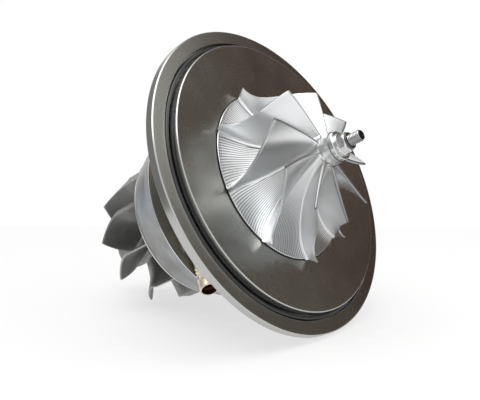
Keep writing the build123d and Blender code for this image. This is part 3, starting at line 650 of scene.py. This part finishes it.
def coolant_tube(name, node, side):
    """One tube, its outline carried along its centre line and its inside marked for painted shade."""
    along = Vector((0.0, 0.0, side))
    outward = Vector((cos(bend_side), side * sin(bend_side), 0.0))
    across = along.cross(outward)
    root = port + along * port_reach

    def bent(distance, radius, angle):
        """Where a point of the tube lies, its centre line straight, then bent, then straight."""
        turned = min(max(distance - bend_from, 0.0) / bend_radius, bend_angle)
        ahead = along * cos(turned) + outward * sin(turned)
        aside = outward * cos(turned) - along * sin(turned)
        centre = root + along * min(distance, bend_from)
        centre += bend_radius * (along * sin(turned) + outward * (1 - cos(turned)))
        centre += ahead * max(0.0, distance - bend_from - bend_length)
        return centre + radius * (aside * cos(radians(angle)) + across * sin(radians(angle)))

    around = even_angles(56)
    piece = make_piece(name, revolved(tube_outline, around, bent), brass, 50.0)
    outside = [index for index, point in enumerate(tube_outline) if point.y > sleeve_radius - 0.4]
    inside = piece.data.attributes.new("bore", "FLOAT", "POINT")
    for index in range(len(inside.data)):
        inside.data[index].value = 1.0 if index // len(around) > outside[-1] + lip_rows else 0.0
    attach(piece, "housing")
    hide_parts(node)


coolant_tube("coolant_inlet_tube", "coolant_inlet_fitting", -1)
coolant_tube("coolant_outlet_tube", "coolant_outlet_fitting", 1)

# Shaft: ground steel, with a seal hub at the turbine end and a rolled thread at the other.
# Only its threaded end shows, past the nut.
thread_radius = 3.5
thread_depth = 0.6
thread_pitch = 1.0
thread_start = 46.2
thread_end = 63.2
thread_rows = 216
flank_slope = 2.4
root_flat = 0.15
stub_radius = 4.0
stub_front = 45.2
journal_radius = 7.5
journal_front = -29.35
seal_hub_radius = 10.85
seal_hub_back = -79.5
seal_hub_front = -68.45
seal_groove_back = -74.45
seal_groove_front = -72.75
seal_groove_radius = 9.05
stud_tip = 63.9
centre_hole = 0.9
centre_depth = 1.2

shaft_outline = [
    (seal_hub_back, 0.0),
    (seal_hub_back, seal_hub_radius),
    (seal_groove_back, seal_hub_radius),
    (seal_groove_back, seal_groove_radius),
    (seal_groove_front, seal_groove_radius),
    (seal_groove_front, seal_hub_radius),
    (seal_hub_front, seal_hub_radius),
    (seal_hub_front + 0.5, journal_radius + 0.8),
    (seal_hub_front + 2.0, journal_radius),
    (journal_front, journal_radius),
    (journal_front, stub_radius),
    (stub_front, stub_radius),
]
shaft_outline += [
    (thread_start + (thread_end - thread_start) * row / thread_rows, thread_radius)
    for row in range(thread_rows + 1)
]
shaft_outline += [
    (stud_tip - 0.25, thread_radius - thread_depth + 0.1),
    (stud_tip, thread_radius - thread_depth - 0.15),
    (stud_tip, centre_hole),
    (stud_tip - centre_depth, 0.0),
]


def threaded(x, radius, angle):
    """Sinks the thread's flanks between its crests."""
    if thread_start < x <= thread_end and radius > 1:
        turn = (x / thread_pitch - angle / 360) % 1
        flank = min(1.0, max(0.0, abs(turn - 0.5) * flank_slope - root_flat))
        radius -= thread_depth * (1 - flank)
    return straight(x, radius, angle)


thread = Finish("rolled_thread_steel", Metallic=1.0)
# Painted shade: the roots of the thread are painted near black, the crests light.
root_shade = 1 - thread.between(thread.out(), thread_radius - thread_depth, thread_radius - 0.1)
thread.set(
    Base_Color=thread.mix(root_shade, (0.80, 0.80, 0.81), (0.02, 0.02, 0.02)),
    Roughness=0.20 + root_shade * 0.12,
)
thread.relief(thread.rings(thread.along(), 0.1), 0.005)
threaded_shape = revolved(shaft_outline, even_angles(48), threaded)
shaft = make_piece("threaded_shaft", threaded_shape, thread, 50.0)
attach(shaft, "rotor")
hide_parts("shaft")


# Turbine wheel: investment cast heat-resisting alloy with a scalloped back disc and ten blades.
# Its skin is grey and slightly grainy, and the blade tips are ground back to bare metal.
def flow_map(shape):
    """The map that holds how far along the flow a point is, from 0 to 1 on the hub and from 2 to 3
    on a blade, and which tool line it lies on."""
    return shape.loops.layers.uv.new("flow")


def flow_faces(shape, flow, strips):
    """Lays a face over each row of corners. A corner is (vertex, place along the flow, line)."""
    for strip in strips:
        corners = list(dict.fromkeys(strip))
        face = shape.faces.new([vertex for vertex, w, line in corners])
        for loop, (vertex, w, line) in zip(face.loops, corners):
            loop[flow].uv = (w, line)
    bmesh.ops.recalc_face_normals(shape, faces=shape.faces)
    return shape


def blade_row(count, nose, length):
    """Distances along a blade from edge to edge, closer together at its rounded edges."""
    edge_steps = 4
    ends = [nose * (1 - cos(pi / 2 * step / edge_steps)) for step in range(edge_steps + 1)]
    middle = [nose + (length - 2 * nose) * step / count for step in range(1, count)]
    return ends + middle + [length - distance for distance in reversed(ends)]


def blade_shape(middle, thickness, rows, count, nose, fillet, lines, tip_break=0.12):
    """One blade as a closed shell. middle(w, s) is its middle surface, from the first edge to the
    second and from root to tip, and each row is a loop round both flanks."""
    shape = bmesh.new()
    flow = flow_map(shape)
    track_steps = 60
    below_root = -0.03
    fillet_rows = (0.12, 0.3, 0.55)
    step_w = 0.004
    step_share = 0.01
    span = (middle(0.5, 1.0) - middle(0.5, 0.0)).length
    shares = {below_root, 1 - tip_break / span, 1.0}
    shares.update(row / rows for row in range(rows))
    shares.update(fillet * part / span for part in fillet_rows)
    loops = []
    for share in sorted(shares):
        track = [middle(step / track_steps, share) for step in range(track_steps + 1)]
        lengths = [0.0]
        for here, after in zip(track, track[1:]):
            lengths.append(lengths[-1] + (after - here).length)
        length = lengths[-1]
        one_side = []
        other_side = []
        for distance in blade_row(count, nose, length):
            index = 0
            while index < track_steps - 1 and lengths[index + 1] < distance:
                index += 1
            part = (distance - lengths[index]) / max(1e-9, lengths[index + 1] - lengths[index])
            w = (index + part) / track_steps
            point = middle(w, share)
            along = middle(min(1.0, w + step_w), share) - middle(max(0.0, w - step_w), share)
            outwards = middle(w, min(1.0, share + step_share)) - middle(w, share - step_share)
            normal = along.cross(outwards).normalized()
            half = thickness(point) / 2
            depth = (point - middle(w, 0.0)).length if share > 0 else 0.0
            if depth < fillet:
                half += fillet - sqrt(fillet**2 - (fillet - depth) ** 2)
            if share == 1.0:
                half -= tip_break
            to_edge = min(distance, length - distance)
            half *= sqrt(max(0.0, 1 - (1 - min(1.0, to_edge / nose)) ** 2))
            one_side.append((point + normal * half, 2 + w, share * lines))
            other_side.append((point - normal * half, 2 + w, share * lines))
        loop = one_side + other_side[-2:0:-1]
        loops.append([(shape.verts.new(point), w, line) for point, w, line in loop])
    total = len(loops[0])
    strips = []
    for lower, upper in zip(loops, loops[1:]):
        for index in range(total):
            after = (index + 1) % total
            strips.append([lower[index], lower[after], upper[after], upper[index]])
    for ring in (loops[0], loops[-1]):
        for index in range(total // 2):
            strips.append([ring[index], ring[index + 1], ring[-index - 1], ring[-index]])
    return flow_faces(shape, flow, strips)


def ring_of_copies(name, blade, hub, count, finish):
    """Copies a blade evenly round the shaft, joins the hub to it and keeps the result as a mesh."""
    tree = bpy.data.node_groups.new(name, "GeometryNodeTree")
    kinds = {"Blade": "Geometry", "Hub": "Object", "Copies": "Int", "Metal": "Material"}
    sockets = {}
    for label, kind in kinds.items():
        socket = tree.interface.new_socket(label, in_out="INPUT", socket_type="NodeSocket" + kind)
        sockets[label] = socket.identifier
    tree.interface.new_socket("Wheel", in_out="OUTPUT", socket_type="NodeSocketGeometry")
    wheel_nodes = Nodes(tree)
    add = wheel_nodes.node

    def given(label):
        return add("NodeGroupInput", output=label)

    turn = add("GeometryNodeInputIndex") / given("Copies") * tau
    angles = add("ShaderNodeCombineXYZ", {}, {"X": turn})
    spin = add("FunctionNodeEulerToRotation", {}, {"Euler": angles})
    points = add("GeometryNodePoints", {}, {"Count": given("Copies")})
    copied = {"Points": points, "Instance": given("Blade"), "Rotation": spin}
    copies = add("GeometryNodeInstanceOnPoints", {}, copied)
    core = add("GeometryNodeObjectInfo", {}, {"Object": given("Hub")}, "Geometry")
    joined = add("GeometryNodeJoinGeometry", {}, {0: core})
    wheel_nodes.plug(joined.socket.node.inputs[0], copies)
    real = add("GeometryNodeRealizeInstances", {}, {"Geometry": joined})
    metal = add("GeometryNodeSetMaterial", {}, {"Geometry": real, "Material": given("Metal")})
    add("NodeGroupOutput", {}, {0: metal})

    wheel = as_object(name, blade)
    wheel_hub = as_object(name + "_hub", hub)
    modifier = wheel.modifiers.new("wheel", "NODES")
    modifier.node_group = tree
    modifier[sockets["Hub"]] = wheel_hub
    modifier[sockets["Copies"]] = count
    modifier[sockets["Metal"]] = finish.material
    settle(wheel, [wheel_hub])
    wheel.data.transform(laid_down)
    smooth(wheel, 38)
    return wheel


turbine_blades = 10
turbine_disc = 42.0
turbine_disc_front = -83.0
turbine_disc_back = -80.6
turbine_hub = 13.0
turbine_end = -152.0
turbine_nose_round = 4.0
turbine_root = -134.5
scallop_radius = 9.0
scallop_circle = 48.5
inlet_radius = 48.2
inlet_front = -81.4
inlet_back = -102.2
blade_foot_rise = 0.8
outlet_x = -126.0
outlet_radius = 45.15
shroud_bottom = -123.5
shroud_rise = 0.00672
outlet_angle = 85.0
turbine_turn = 18.1
turn_start = -105.4
turn_power = 1.83
turbine_tip = 1.1
turbine_root_thickness = 3.4
turbine_fillet = 2.4
hub_curve_steps = 40


def turbine_angle(x):
    share = max(0.0, (turn_start - x) / (turn_start - outlet_x))
    return outlet_angle - turbine_turn * (1 - share**turn_power)


def turbine_hub_point(share):
    """A point of the hub's curve, from the outlet end to the rim of the disc."""
    turn = pi / 2 * share
    length = turbine_disc_front - turbine_root
    rise = turbine_disc - turbine_hub
    return Vector((turbine_root + length * sin(turn), turbine_disc - rise * cos(turn)))


def turbine_root_point(w):
    rim_share = 0.96
    if w < rim_share:
        return turbine_hub_point(w / rim_share)
    disc_edge = Vector((turbine_disc_front, turbine_disc))
    foot = Vector((inlet_front, turbine_disc + blade_foot_rise))
    return disc_edge.lerp(foot, (w - rim_share) / (1 - rim_share))


def turbine_tip_point(w):
    shroud_share = 0.5
    if w < shroud_share:
        x = outlet_x + (inlet_back - outlet_x) * w / shroud_share
        return Vector((x, outlet_radius + shroud_rise * (x - shroud_bottom) ** 2))
    x = inlet_back + (inlet_front - inlet_back) * (w - shroud_share) / (1 - shroud_share)
    return Vector((x, inlet_radius))


def turbine_middle(w, share):
    point = turbine_root_point(w).lerp(turbine_tip_point(w), share)
    return straight(point.x, point.y, turbine_angle(point.x))


def turbine_thickness(point):
    radius = hypot(point.y, point.z)
    share = (radius - turbine_hub) / (inlet_radius - turbine_hub)
    return turbine_root_thickness + share * (turbine_tip - turbine_root_thickness)


def scalloped_rim(angle):
    """Radius of the disc at an angle: full at a blade, cut in by a scallop between two."""
    pitch = 360 / turbine_blades
    inlet_angle = outlet_angle - turbine_turn
    aside = radians((angle - inlet_angle) % pitch - pitch / 2)
    reach = scallop_circle * sin(aside)
    if abs(reach) >= scallop_radius:
        return turbine_disc
    return min(turbine_disc, scallop_circle * cos(aside) - sqrt(scallop_radius**2 - reach**2))


def turbine_hub_place(x, radius, angle):
    return straight(x, min(radius, scalloped_rim(angle)), angle)


turbine_corners = [
    (turbine_disc_back, turbine_disc, 0.4),
    (turbine_disc_back, seal_hub_radius + 3, 0),
    (seal_hub_back, seal_hub_radius, 0),
    (seal_hub_back, 0.0, 0),
    (turbine_end, 0.0, 0),
    (turbine_end, turbine_hub, turbine_nose_round),
    (turbine_root, turbine_hub, 0),
]
turbine_outline = rounded(turbine_corners, steps=8)
turbine_outline += [turbine_hub_point(step / hub_curve_steps) for step in range(1, hub_curve_steps)]
turbine_outline.append(Vector((turbine_disc_front, turbine_disc)))

cast = Finish("cast_turbine_alloy", Metallic=1.0)
skin = cast.noise(70.0, 4.0)
ground_tip = cast.between(cast.out(), outlet_radius - 0.05, outlet_radius + 0.15) * 0.8
cast_skin = cast.mix(cast.between(skin, 0.35, 0.7), (0.33, 0.335, 0.32), (0.25, 0.25, 0.24))
cast.set(
    Base_Color=cast.mix(ground_tip, cast_skin, (0.45, 0.45, 0.44)),
    Roughness=0.48 + skin * 0.1 - ground_tip * 0.1,
)
cast.relief(cast.noise(1100.0, 4.0), 0.06)

turbine_wheel = ring_of_copies(
    "cast_turbine_wheel",
    blade_shape(
        turbine_middle, turbine_thickness, rows=20, count=34, nose=0.7, fillet=turbine_fillet, lines=1.0
    ),
    revolved(turbine_outline, even_angles(400), turbine_hub_place),
    turbine_blades,
    cast,
)
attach(turbine_wheel, "rotor")
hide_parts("turbine_wheel")

# Compressor wheel: milled from a forged aluminium billet on five axes. A ball cutter leaves fine
# ridges along the floor of each passage, and nine full blades lean back at the outlet.
wheel_blades = 9
disc_radius = 54.3
disc_front = 2.0
disc_back = 0.4
nose = 44.0
nose_radius = 9.2
nose_face = 46.2
nose_rim = 9.7
boss_face = -4.5
boss_radius = 15.0
wheel_bore = 4.02
inducer_radius = 42.9
inducer_x = 36.5
inducer_start = 0.064
exducer_radius = 58.8
exducer_x = 8.3
trailing_foot = (2.2, 54.8)
shroud_power = 2.387
phase = 57.1
inducer_turn = 2.03
turn_end = 0.5
backsweep_start = 38.0
backsweep_rate = 0.38
wheel_tip = 1.0
wheel_root = 2.2
wheel_fillet = 1.9
ridges = 20
blade_lines = 30.0
ridge_depth = 0.15
ridge_start = 0.18
ridge_rise = 0.25
ridge_samples = 4


def wheel_angle(x, radius):
    """Angle of a blade's middle: the inducer's turn, then the backsweep."""
    length = inducer_x - turn_end
    share = max(0.0, (x - turn_end) / length)
    turned = inducer_turn * length * (1 - share**2) / 2
    leant = max(0.0, radius - backsweep_start) ** 2 / 2 / (exducer_radius - backsweep_start)
    return phase + turned + backsweep_rate * leant


def wheel_hub_point(share):
    """A point of the hub's curve, from the nose to the rim of the disc."""
    turn = pi / 2 * share
    return Vector(
        (nose - (nose - disc_front) * sin(turn), disc_radius - (disc_radius - nose_radius) * cos(turn))
    )


def wheel_root_point(w):
    rim_share = 0.985
    if w < rim_share:
        return wheel_hub_point(inducer_start + (1 - inducer_start) * w / rim_share)
    disc_edge = Vector((disc_front, disc_radius))
    return disc_edge.lerp(Vector(trailing_foot), (w - rim_share) / (1 - rim_share))


def wheel_tip_point(w):
    """The line of the tips, close to a quarter of an ellipse from the inlet to the outlet."""
    turn = pi / 2 * w
    across = cos(turn) ** (2 / shroud_power)
    down = sin(turn) ** (2 / shroud_power)
    x = inducer_x - (inducer_x - exducer_x) * down
    return Vector((x, exducer_radius - (exducer_radius - inducer_radius) * across))


def wheel_middle(w, share):
    point = wheel_root_point(w).lerp(wheel_tip_point(min(1.0, max(0.0, w))), share)
    return straight(point.x, point.y, wheel_angle(point.x, point.y))


def wheel_thickness(point):
    radius = hypot(point.y, point.z)
    share = (radius - nose_radius) / (exducer_radius - nose_radius)
    return wheel_root + share * (wheel_tip - wheel_root)


def wheel_hub_shape():
    """The hub: its floor follows the blades, and carries the ridges that the cutter leaves."""
    shape = bmesh.new()
    flow = flow_map(shape)
    columns = wheel_blades * ridges * ridge_samples
    rows = 56
    edge_break = 0.3
    grid = []
    for row in range(rows + 1):
        share = row / rows
        turn = pi / 2 * share
        point = wheel_hub_point(share)
        outward = Vector(((disc_radius - nose_radius) * sin(turn), (nose - disc_front) * cos(turn)))
        inward = -outward.normalized()
        depth = ridge_depth * min(1.0, max(0.0, (share - ridge_start) / ridge_rise))
        if row == rows:
            depth = 0.0
            point.y -= edge_break
        ring = []
        for column in range(columns):
            passage = column / columns * wheel_blades
            sunk = depth * abs(sin(pi * ridges * passage))
            x = point.x + inward.x * sunk
            radius = point.y + inward.y * sunk
            angle = wheel_angle(point.x, point.y) + passage * 360 / wheel_blades
            ring.append((shape.verts.new(straight(x, radius, angle)), share, passage * ridges))
        grid.append(ring)
    end_angle = wheel_angle(disc_front, disc_radius)
    edge_rows = [
        (disc_front - edge_break, disc_radius),
        (disc_back + 0.2, disc_radius),
        (disc_back, disc_radius - 0.2),
        (disc_back - 0.1, disc_radius - 1.0),
        (boss_face, boss_radius),
        (boss_face, wheel_bore),
        (nose_face, wheel_bore),
        (nose_face, nose_rim - 0.25),
        (nose_face - 0.08, nose_rim - 0.08),
        (nose_face - 0.25, nose_rim - 0.05),
    ]
    for x, radius in edge_rows:
        ring = []
        for column in range(columns):
            angle = end_angle + 360 * column / columns
            ring.append((shape.verts.new(straight(x, radius, angle)), 1.0, 0.0))
        grid.append(ring)
    strips = []
    for ring, following in zip(grid, grid[1:]):
        for index in range(columns):
            after = (index + 1) % columns
            ends = [ring[after], following[after]]
            if after == 0:
                ends = [(vertex, w, line + ridges * wheel_blades) for vertex, w, line in ends]
            strips.append([ring[index], *ends, following[index]])
    first = [(vertex, 0.0, 0.0) for vertex, w, line in grid[0]]
    last = [(vertex, 0.0, 0.0) for vertex, w, line in grid[-1]]
    shift = round((wheel_angle(nose, nose_radius) - end_angle) / (360 / columns))
    for index in range(columns):
        after = (index + 1) % columns
        strips.append([first[after], first[index]])
        strips[-1] += [last[(index + shift) % columns], last[(after + shift) % columns]]
    return flow_faces(shape, flow, strips)


billet = Finish("milled_aluminium", Metallic=1.0)
flow_place = billet.node("ShaderNodeUVMap", {"uv_map": "flow"})
tool_line = billet.part(flow_place, "Y")
flow_share = billet.part(flow_place, "X")
on_floor = billet.between(flow_share, 0.22, 0.6) * (1 - billet.between(flow_share, 1.1, 1.2))
from_ridge = billet.maths("PINGPONG", tool_line, 0.5)
ridge_shade = (1 - billet.between(from_ridge, 0.05, 0.28)) * on_floor
last_line = blade_lines - 0.2
on_blade = billet.between(flow_share, 1.9, 1.95)
tip_shade = billet.between(tool_line, last_line, last_line + 0.1) * on_blade
front_edge_shade = (1 - billet.between(flow_share, 2.004, 2.012)) * on_blade
# Painted shade: dark grey painted in lines along the cutter's ridges on the passage floors, over the
# blade tips and along the blades' front edges.
dark = ridge_shade * 0.85 + tip_shade * 0.45 + front_edge_shade * 0.8
haze = billet.noise(35.0, 3.0)
skin = billet.mix(billet.between(haze, 0.35, 0.7), (0.84, 0.855, 0.87), (0.77, 0.775, 0.77))
billet.set(
    Base_Color=billet.mix(dark, skin, (0.20, 0.20, 0.20)),
    Roughness=0.24 + haze * 0.1,
)
over_lines = {"W": tool_line * 3.0, "Detail": 2.0}
billet.relief(billet.node("ShaderNodeTexNoise", {"noise_dimensions": "1D"}, over_lines), 0.02)

compressor_wheel = ring_of_copies(
    "milled_compressor_wheel",
    blade_shape(
        wheel_middle, wheel_thickness, rows=24, count=44, nose=0.4, fillet=wheel_fillet, lines=blade_lines
    ),
    wheel_hub_shape(),
    wheel_blades,
    billet,
)
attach(compressor_wheel, "rotor")
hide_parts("compressor_wheel")

# Washer and nut: bright machined steel. The nut has a round foot, a chamfered hexagon and a dark
# locking collar that is crimped on to the thread.
washer_radius = 9.0
washer_front = 49.0
stud_gap = 0.05
washer_corners = [
    (nose_face, thread_radius + stud_gap, 0),
    (nose_face, washer_radius, fine),
    (washer_front, washer_radius, 0.6),
    (washer_front, thread_radius + stud_gap, 0),
]
bright = Finish("bright_machined_steel", Metallic=1.0)
scuff = bright.between(bright.noise(500.0, 4.0), 0.45, 0.75)
bright.set(
    Base_Color=bright.mix(scuff, (0.72, 0.73, 0.73), (0.56, 0.56, 0.55)),
    Roughness=0.18 + scuff * 0.14,
)
bright.relief(bright.rings(bright.along() + bright.out(), 0.12), 0.006)
washer = make_piece("nut_washer_disc", revolved(rounded(washer_corners), even_angles(96)), bright)
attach(washer, "rotor")
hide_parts("nut_washer")

nut_flat = 5.5
nut_corner = 6.351
nut_turn = 56.5
nut_top = 54.8
foot_radius = 7.2
foot_top = 50.7
foot_rise = 0.1
nut_chamfer = 0.8
chamfer_top = nut_flat - 0.15
chamfer_rows = 8
side_rows = 10
collar_radius = 5.2
collar_top = 56.0
nut_bore = 3.52

nut_outline = rounded(
    [
        (washer_front, nut_bore, 0),
        (washer_front, foot_radius, fine),
        (foot_top, foot_radius, 0.25),
        (foot_top + foot_rise, nut_corner, 0),
    ]
)
side_length = nut_top - nut_chamfer - foot_top - foot_rise
for row in range(1, side_rows + 1):
    nut_outline.append(Vector((foot_top + foot_rise + side_length * row / side_rows, nut_corner)))
for row in range(1, chamfer_rows + 1):
    share = row / chamfer_rows
    x = nut_top - nut_chamfer * (1 - share)
    nut_outline.append(Vector((x, nut_corner + (chamfer_top - nut_corner) * share)))
nut_outline += rounded(
    [(nut_top, collar_radius, 0.1), (collar_top, collar_radius, 0.4), (collar_top, nut_bore, 0)]
)


def hexagonal(x, radius, angle):
    """Trims the nut's round outline to its six flats, above the foot."""
    if foot_top < x <= nut_top:
        aside = (angle - nut_turn) % 60 - 30
        radius = min(radius, nut_flat / cos(radians(aside)))
    return straight(x, radius, angle)


nut_metal = Finish("bright_nut_steel", Metallic=1.0)
collar = nut_metal.between(nut_metal.along(), nut_top + 0.05, nut_top + 0.1)
rubbed = nut_metal.between(nut_metal.noise(600.0, 4.0), 0.45, 0.75)
steel_colour = nut_metal.mix(rubbed, (0.78, 0.79, 0.79), (0.58, 0.58, 0.57))
nut_metal.set(
    Base_Color=nut_metal.mix(collar, steel_colour, (0.16, 0.16, 0.155)),
    Roughness=0.16 + rubbed * 0.12 + collar * 0.15,
)
nut_metal.relief(nut_metal.noise(1500.0, 2.0), 0.01)
nut = make_piece(
    "locking_nut",
    revolved(nut_outline, [nut_turn + angle for angle in even_angles(96)], hexagonal),
    nut_metal,
    25.0,
)
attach(nut, "rotor")
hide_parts("compressor_nut")

# The room: a white bench top in a grey studio. Two large soft lamps and a bright ceiling light it,
# a white screen stands behind the camera and a white backdrop with a cool window beyond the
# object, and the plate's turned face reflects a dark corner.
view_way = radians(39.25)
bench_back = 0.40
bench_front = 0.55
bench_side = 0.33
white_share = 0.65
ahead = Vector((-sin(view_way), cos(view_way), 0.0))
aside = Vector((cos(view_way), sin(view_way), 0.0))
bench_middle = Vector((0.0, 0.0, cad_box[0].z))
bench_shape = bmesh.new()
bench_corners = [
    bench_shape.verts.new(bench_middle + ahead * far + aside * side)
    for far, side in (
        (-bench_front, -bench_side),
        (-bench_front, bench_side),
        (bench_back, bench_side),
        (bench_back, -bench_side),
    )
]
bench_shape.faces.new(bench_corners)
bmesh.ops.recalc_face_normals(bench_shape, faces=bench_shape.faces)
bench_top = as_object("bench_top", bench_shape)
bench = Finish("white_bench", Base_Color=(0.90, 0.90, 0.895), Roughness=0.7)
shown_white = bench.node("ShaderNodeEmission", {}, {"Color": (1.0, 1.0, 1.0), "Strength": 1.0})
camera_ray = bench.node("ShaderNodeLightPath", output="Is Camera Ray")
glossy_ray = bench.node("ShaderNodeLightPath", output="Is Glossy Ray")
clear_ray = bench.node("ShaderNodeLightPath", output="Is Transmission Ray")
seen = (camera_ray + glossy_ray + clear_ray) * white_share
lit = Reading(bench, bench.shader.outputs[0])
blend = bench.node("ShaderNodeMixShader", {}, {0: seen, 1: lit, 2: shown_white})
bench.plug(bench.tree.nodes["Material Output"].inputs["Surface"], blend)
bench_top.data.materials.append(bench.material)


def lamp(name, place, size, power):
    """A round soft lamp that points at the object."""
    light = bpy.data.lights.new(name, "AREA")
    light.shape = "DISK"
    light.size = size
    light.energy = power
    holder = new_object(name, light)
    holder.location = place
    holder.rotation_mode = "QUATERNION"
    holder.rotation_quaternion = (-Vector(place)).to_track_quat("-Z", "Y")


lamp("overhead_softbox", (-0.10, -0.30, 1.1), size=1.1, power=6.0)
lamp("side_softbox", (0.80, 0.30, 1.05), size=1.5, power=6.0)

world = bpy.data.worlds.new("studio")
bpy.context.scene.world = world
world.use_nodes = True
world.node_tree.nodes.clear()
sky = Nodes(world.node_tree)
direction = sky.node("ShaderNodeTexCoord", output="Generated")


def panel(under, middle, start, full, colour):
    """Lays a soft-edged panel of one colour over the room, round one direction."""
    both_ways = {0: direction, 1: Vector(middle).normalized()}
    near = sky.node("ShaderNodeVectorMath", {"operation": "DOT_PRODUCT"}, both_ways, "Value")
    return sky.mix(sky.between(near, start, full), under, colour)


walls = (0.30, 0.30, 0.30)
below = panel(walls, (0.0, 0.0, -1.0), -0.02, 0.20, (0.24, 0.24, 0.235))
ceiling = panel(below, (-0.10, -0.25, 0.96), 0.62, 0.90, (1.10, 1.10, 1.10))
screen = panel(ceiling, (0.82, -0.52, 0.24), 0.72, 0.93, (1.0, 1.0, 1.0))
window = panel(screen, (-0.97, 0.06, -0.19), 0.970, 0.988, (0.86, 0.93, 1.02))
backdrop = panel(window, (-0.63, 0.77, -0.08), 0.80, 0.88, (1.0, 1.0, 1.0))
room = panel(backdrop, (0.36, 0.86, 0.36), 0.80, 0.95, (0.15, 0.125, 0.105))
background = sky.node("ShaderNodeBackground", {}, {"Color": room, "Strength": 1.0})
sky.node("ShaderNodeOutputWorld", {}, {"Surface": background})

# The camera: half a metre from the compressor side and 13 cm over the bench, looking the same
# way as the photo.
camera_data = bpy.data.cameras.new("camera")
camera_data.sensor_width = 36.0
camera_data.lens = 55.02
camera = new_object("camera", camera_data)
camera_place = Vector((0.26928, -0.36840, 0.03746))
camera_right = Vector((0.77431, 0.63270, 0.00555))
camera_up = Vector((-0.07655, 0.08497, 0.99343))
camera_back = camera_right.cross(camera_up)
turned_to = Matrix((camera_right, camera_up, camera_back)).transposed()
camera.matrix_world = Matrix.Translation(camera_place) @ turned_to.to_4x4()
bpy.context.scene.camera = camera
bpy.context.scene.view_settings.view_transform = "Standard"
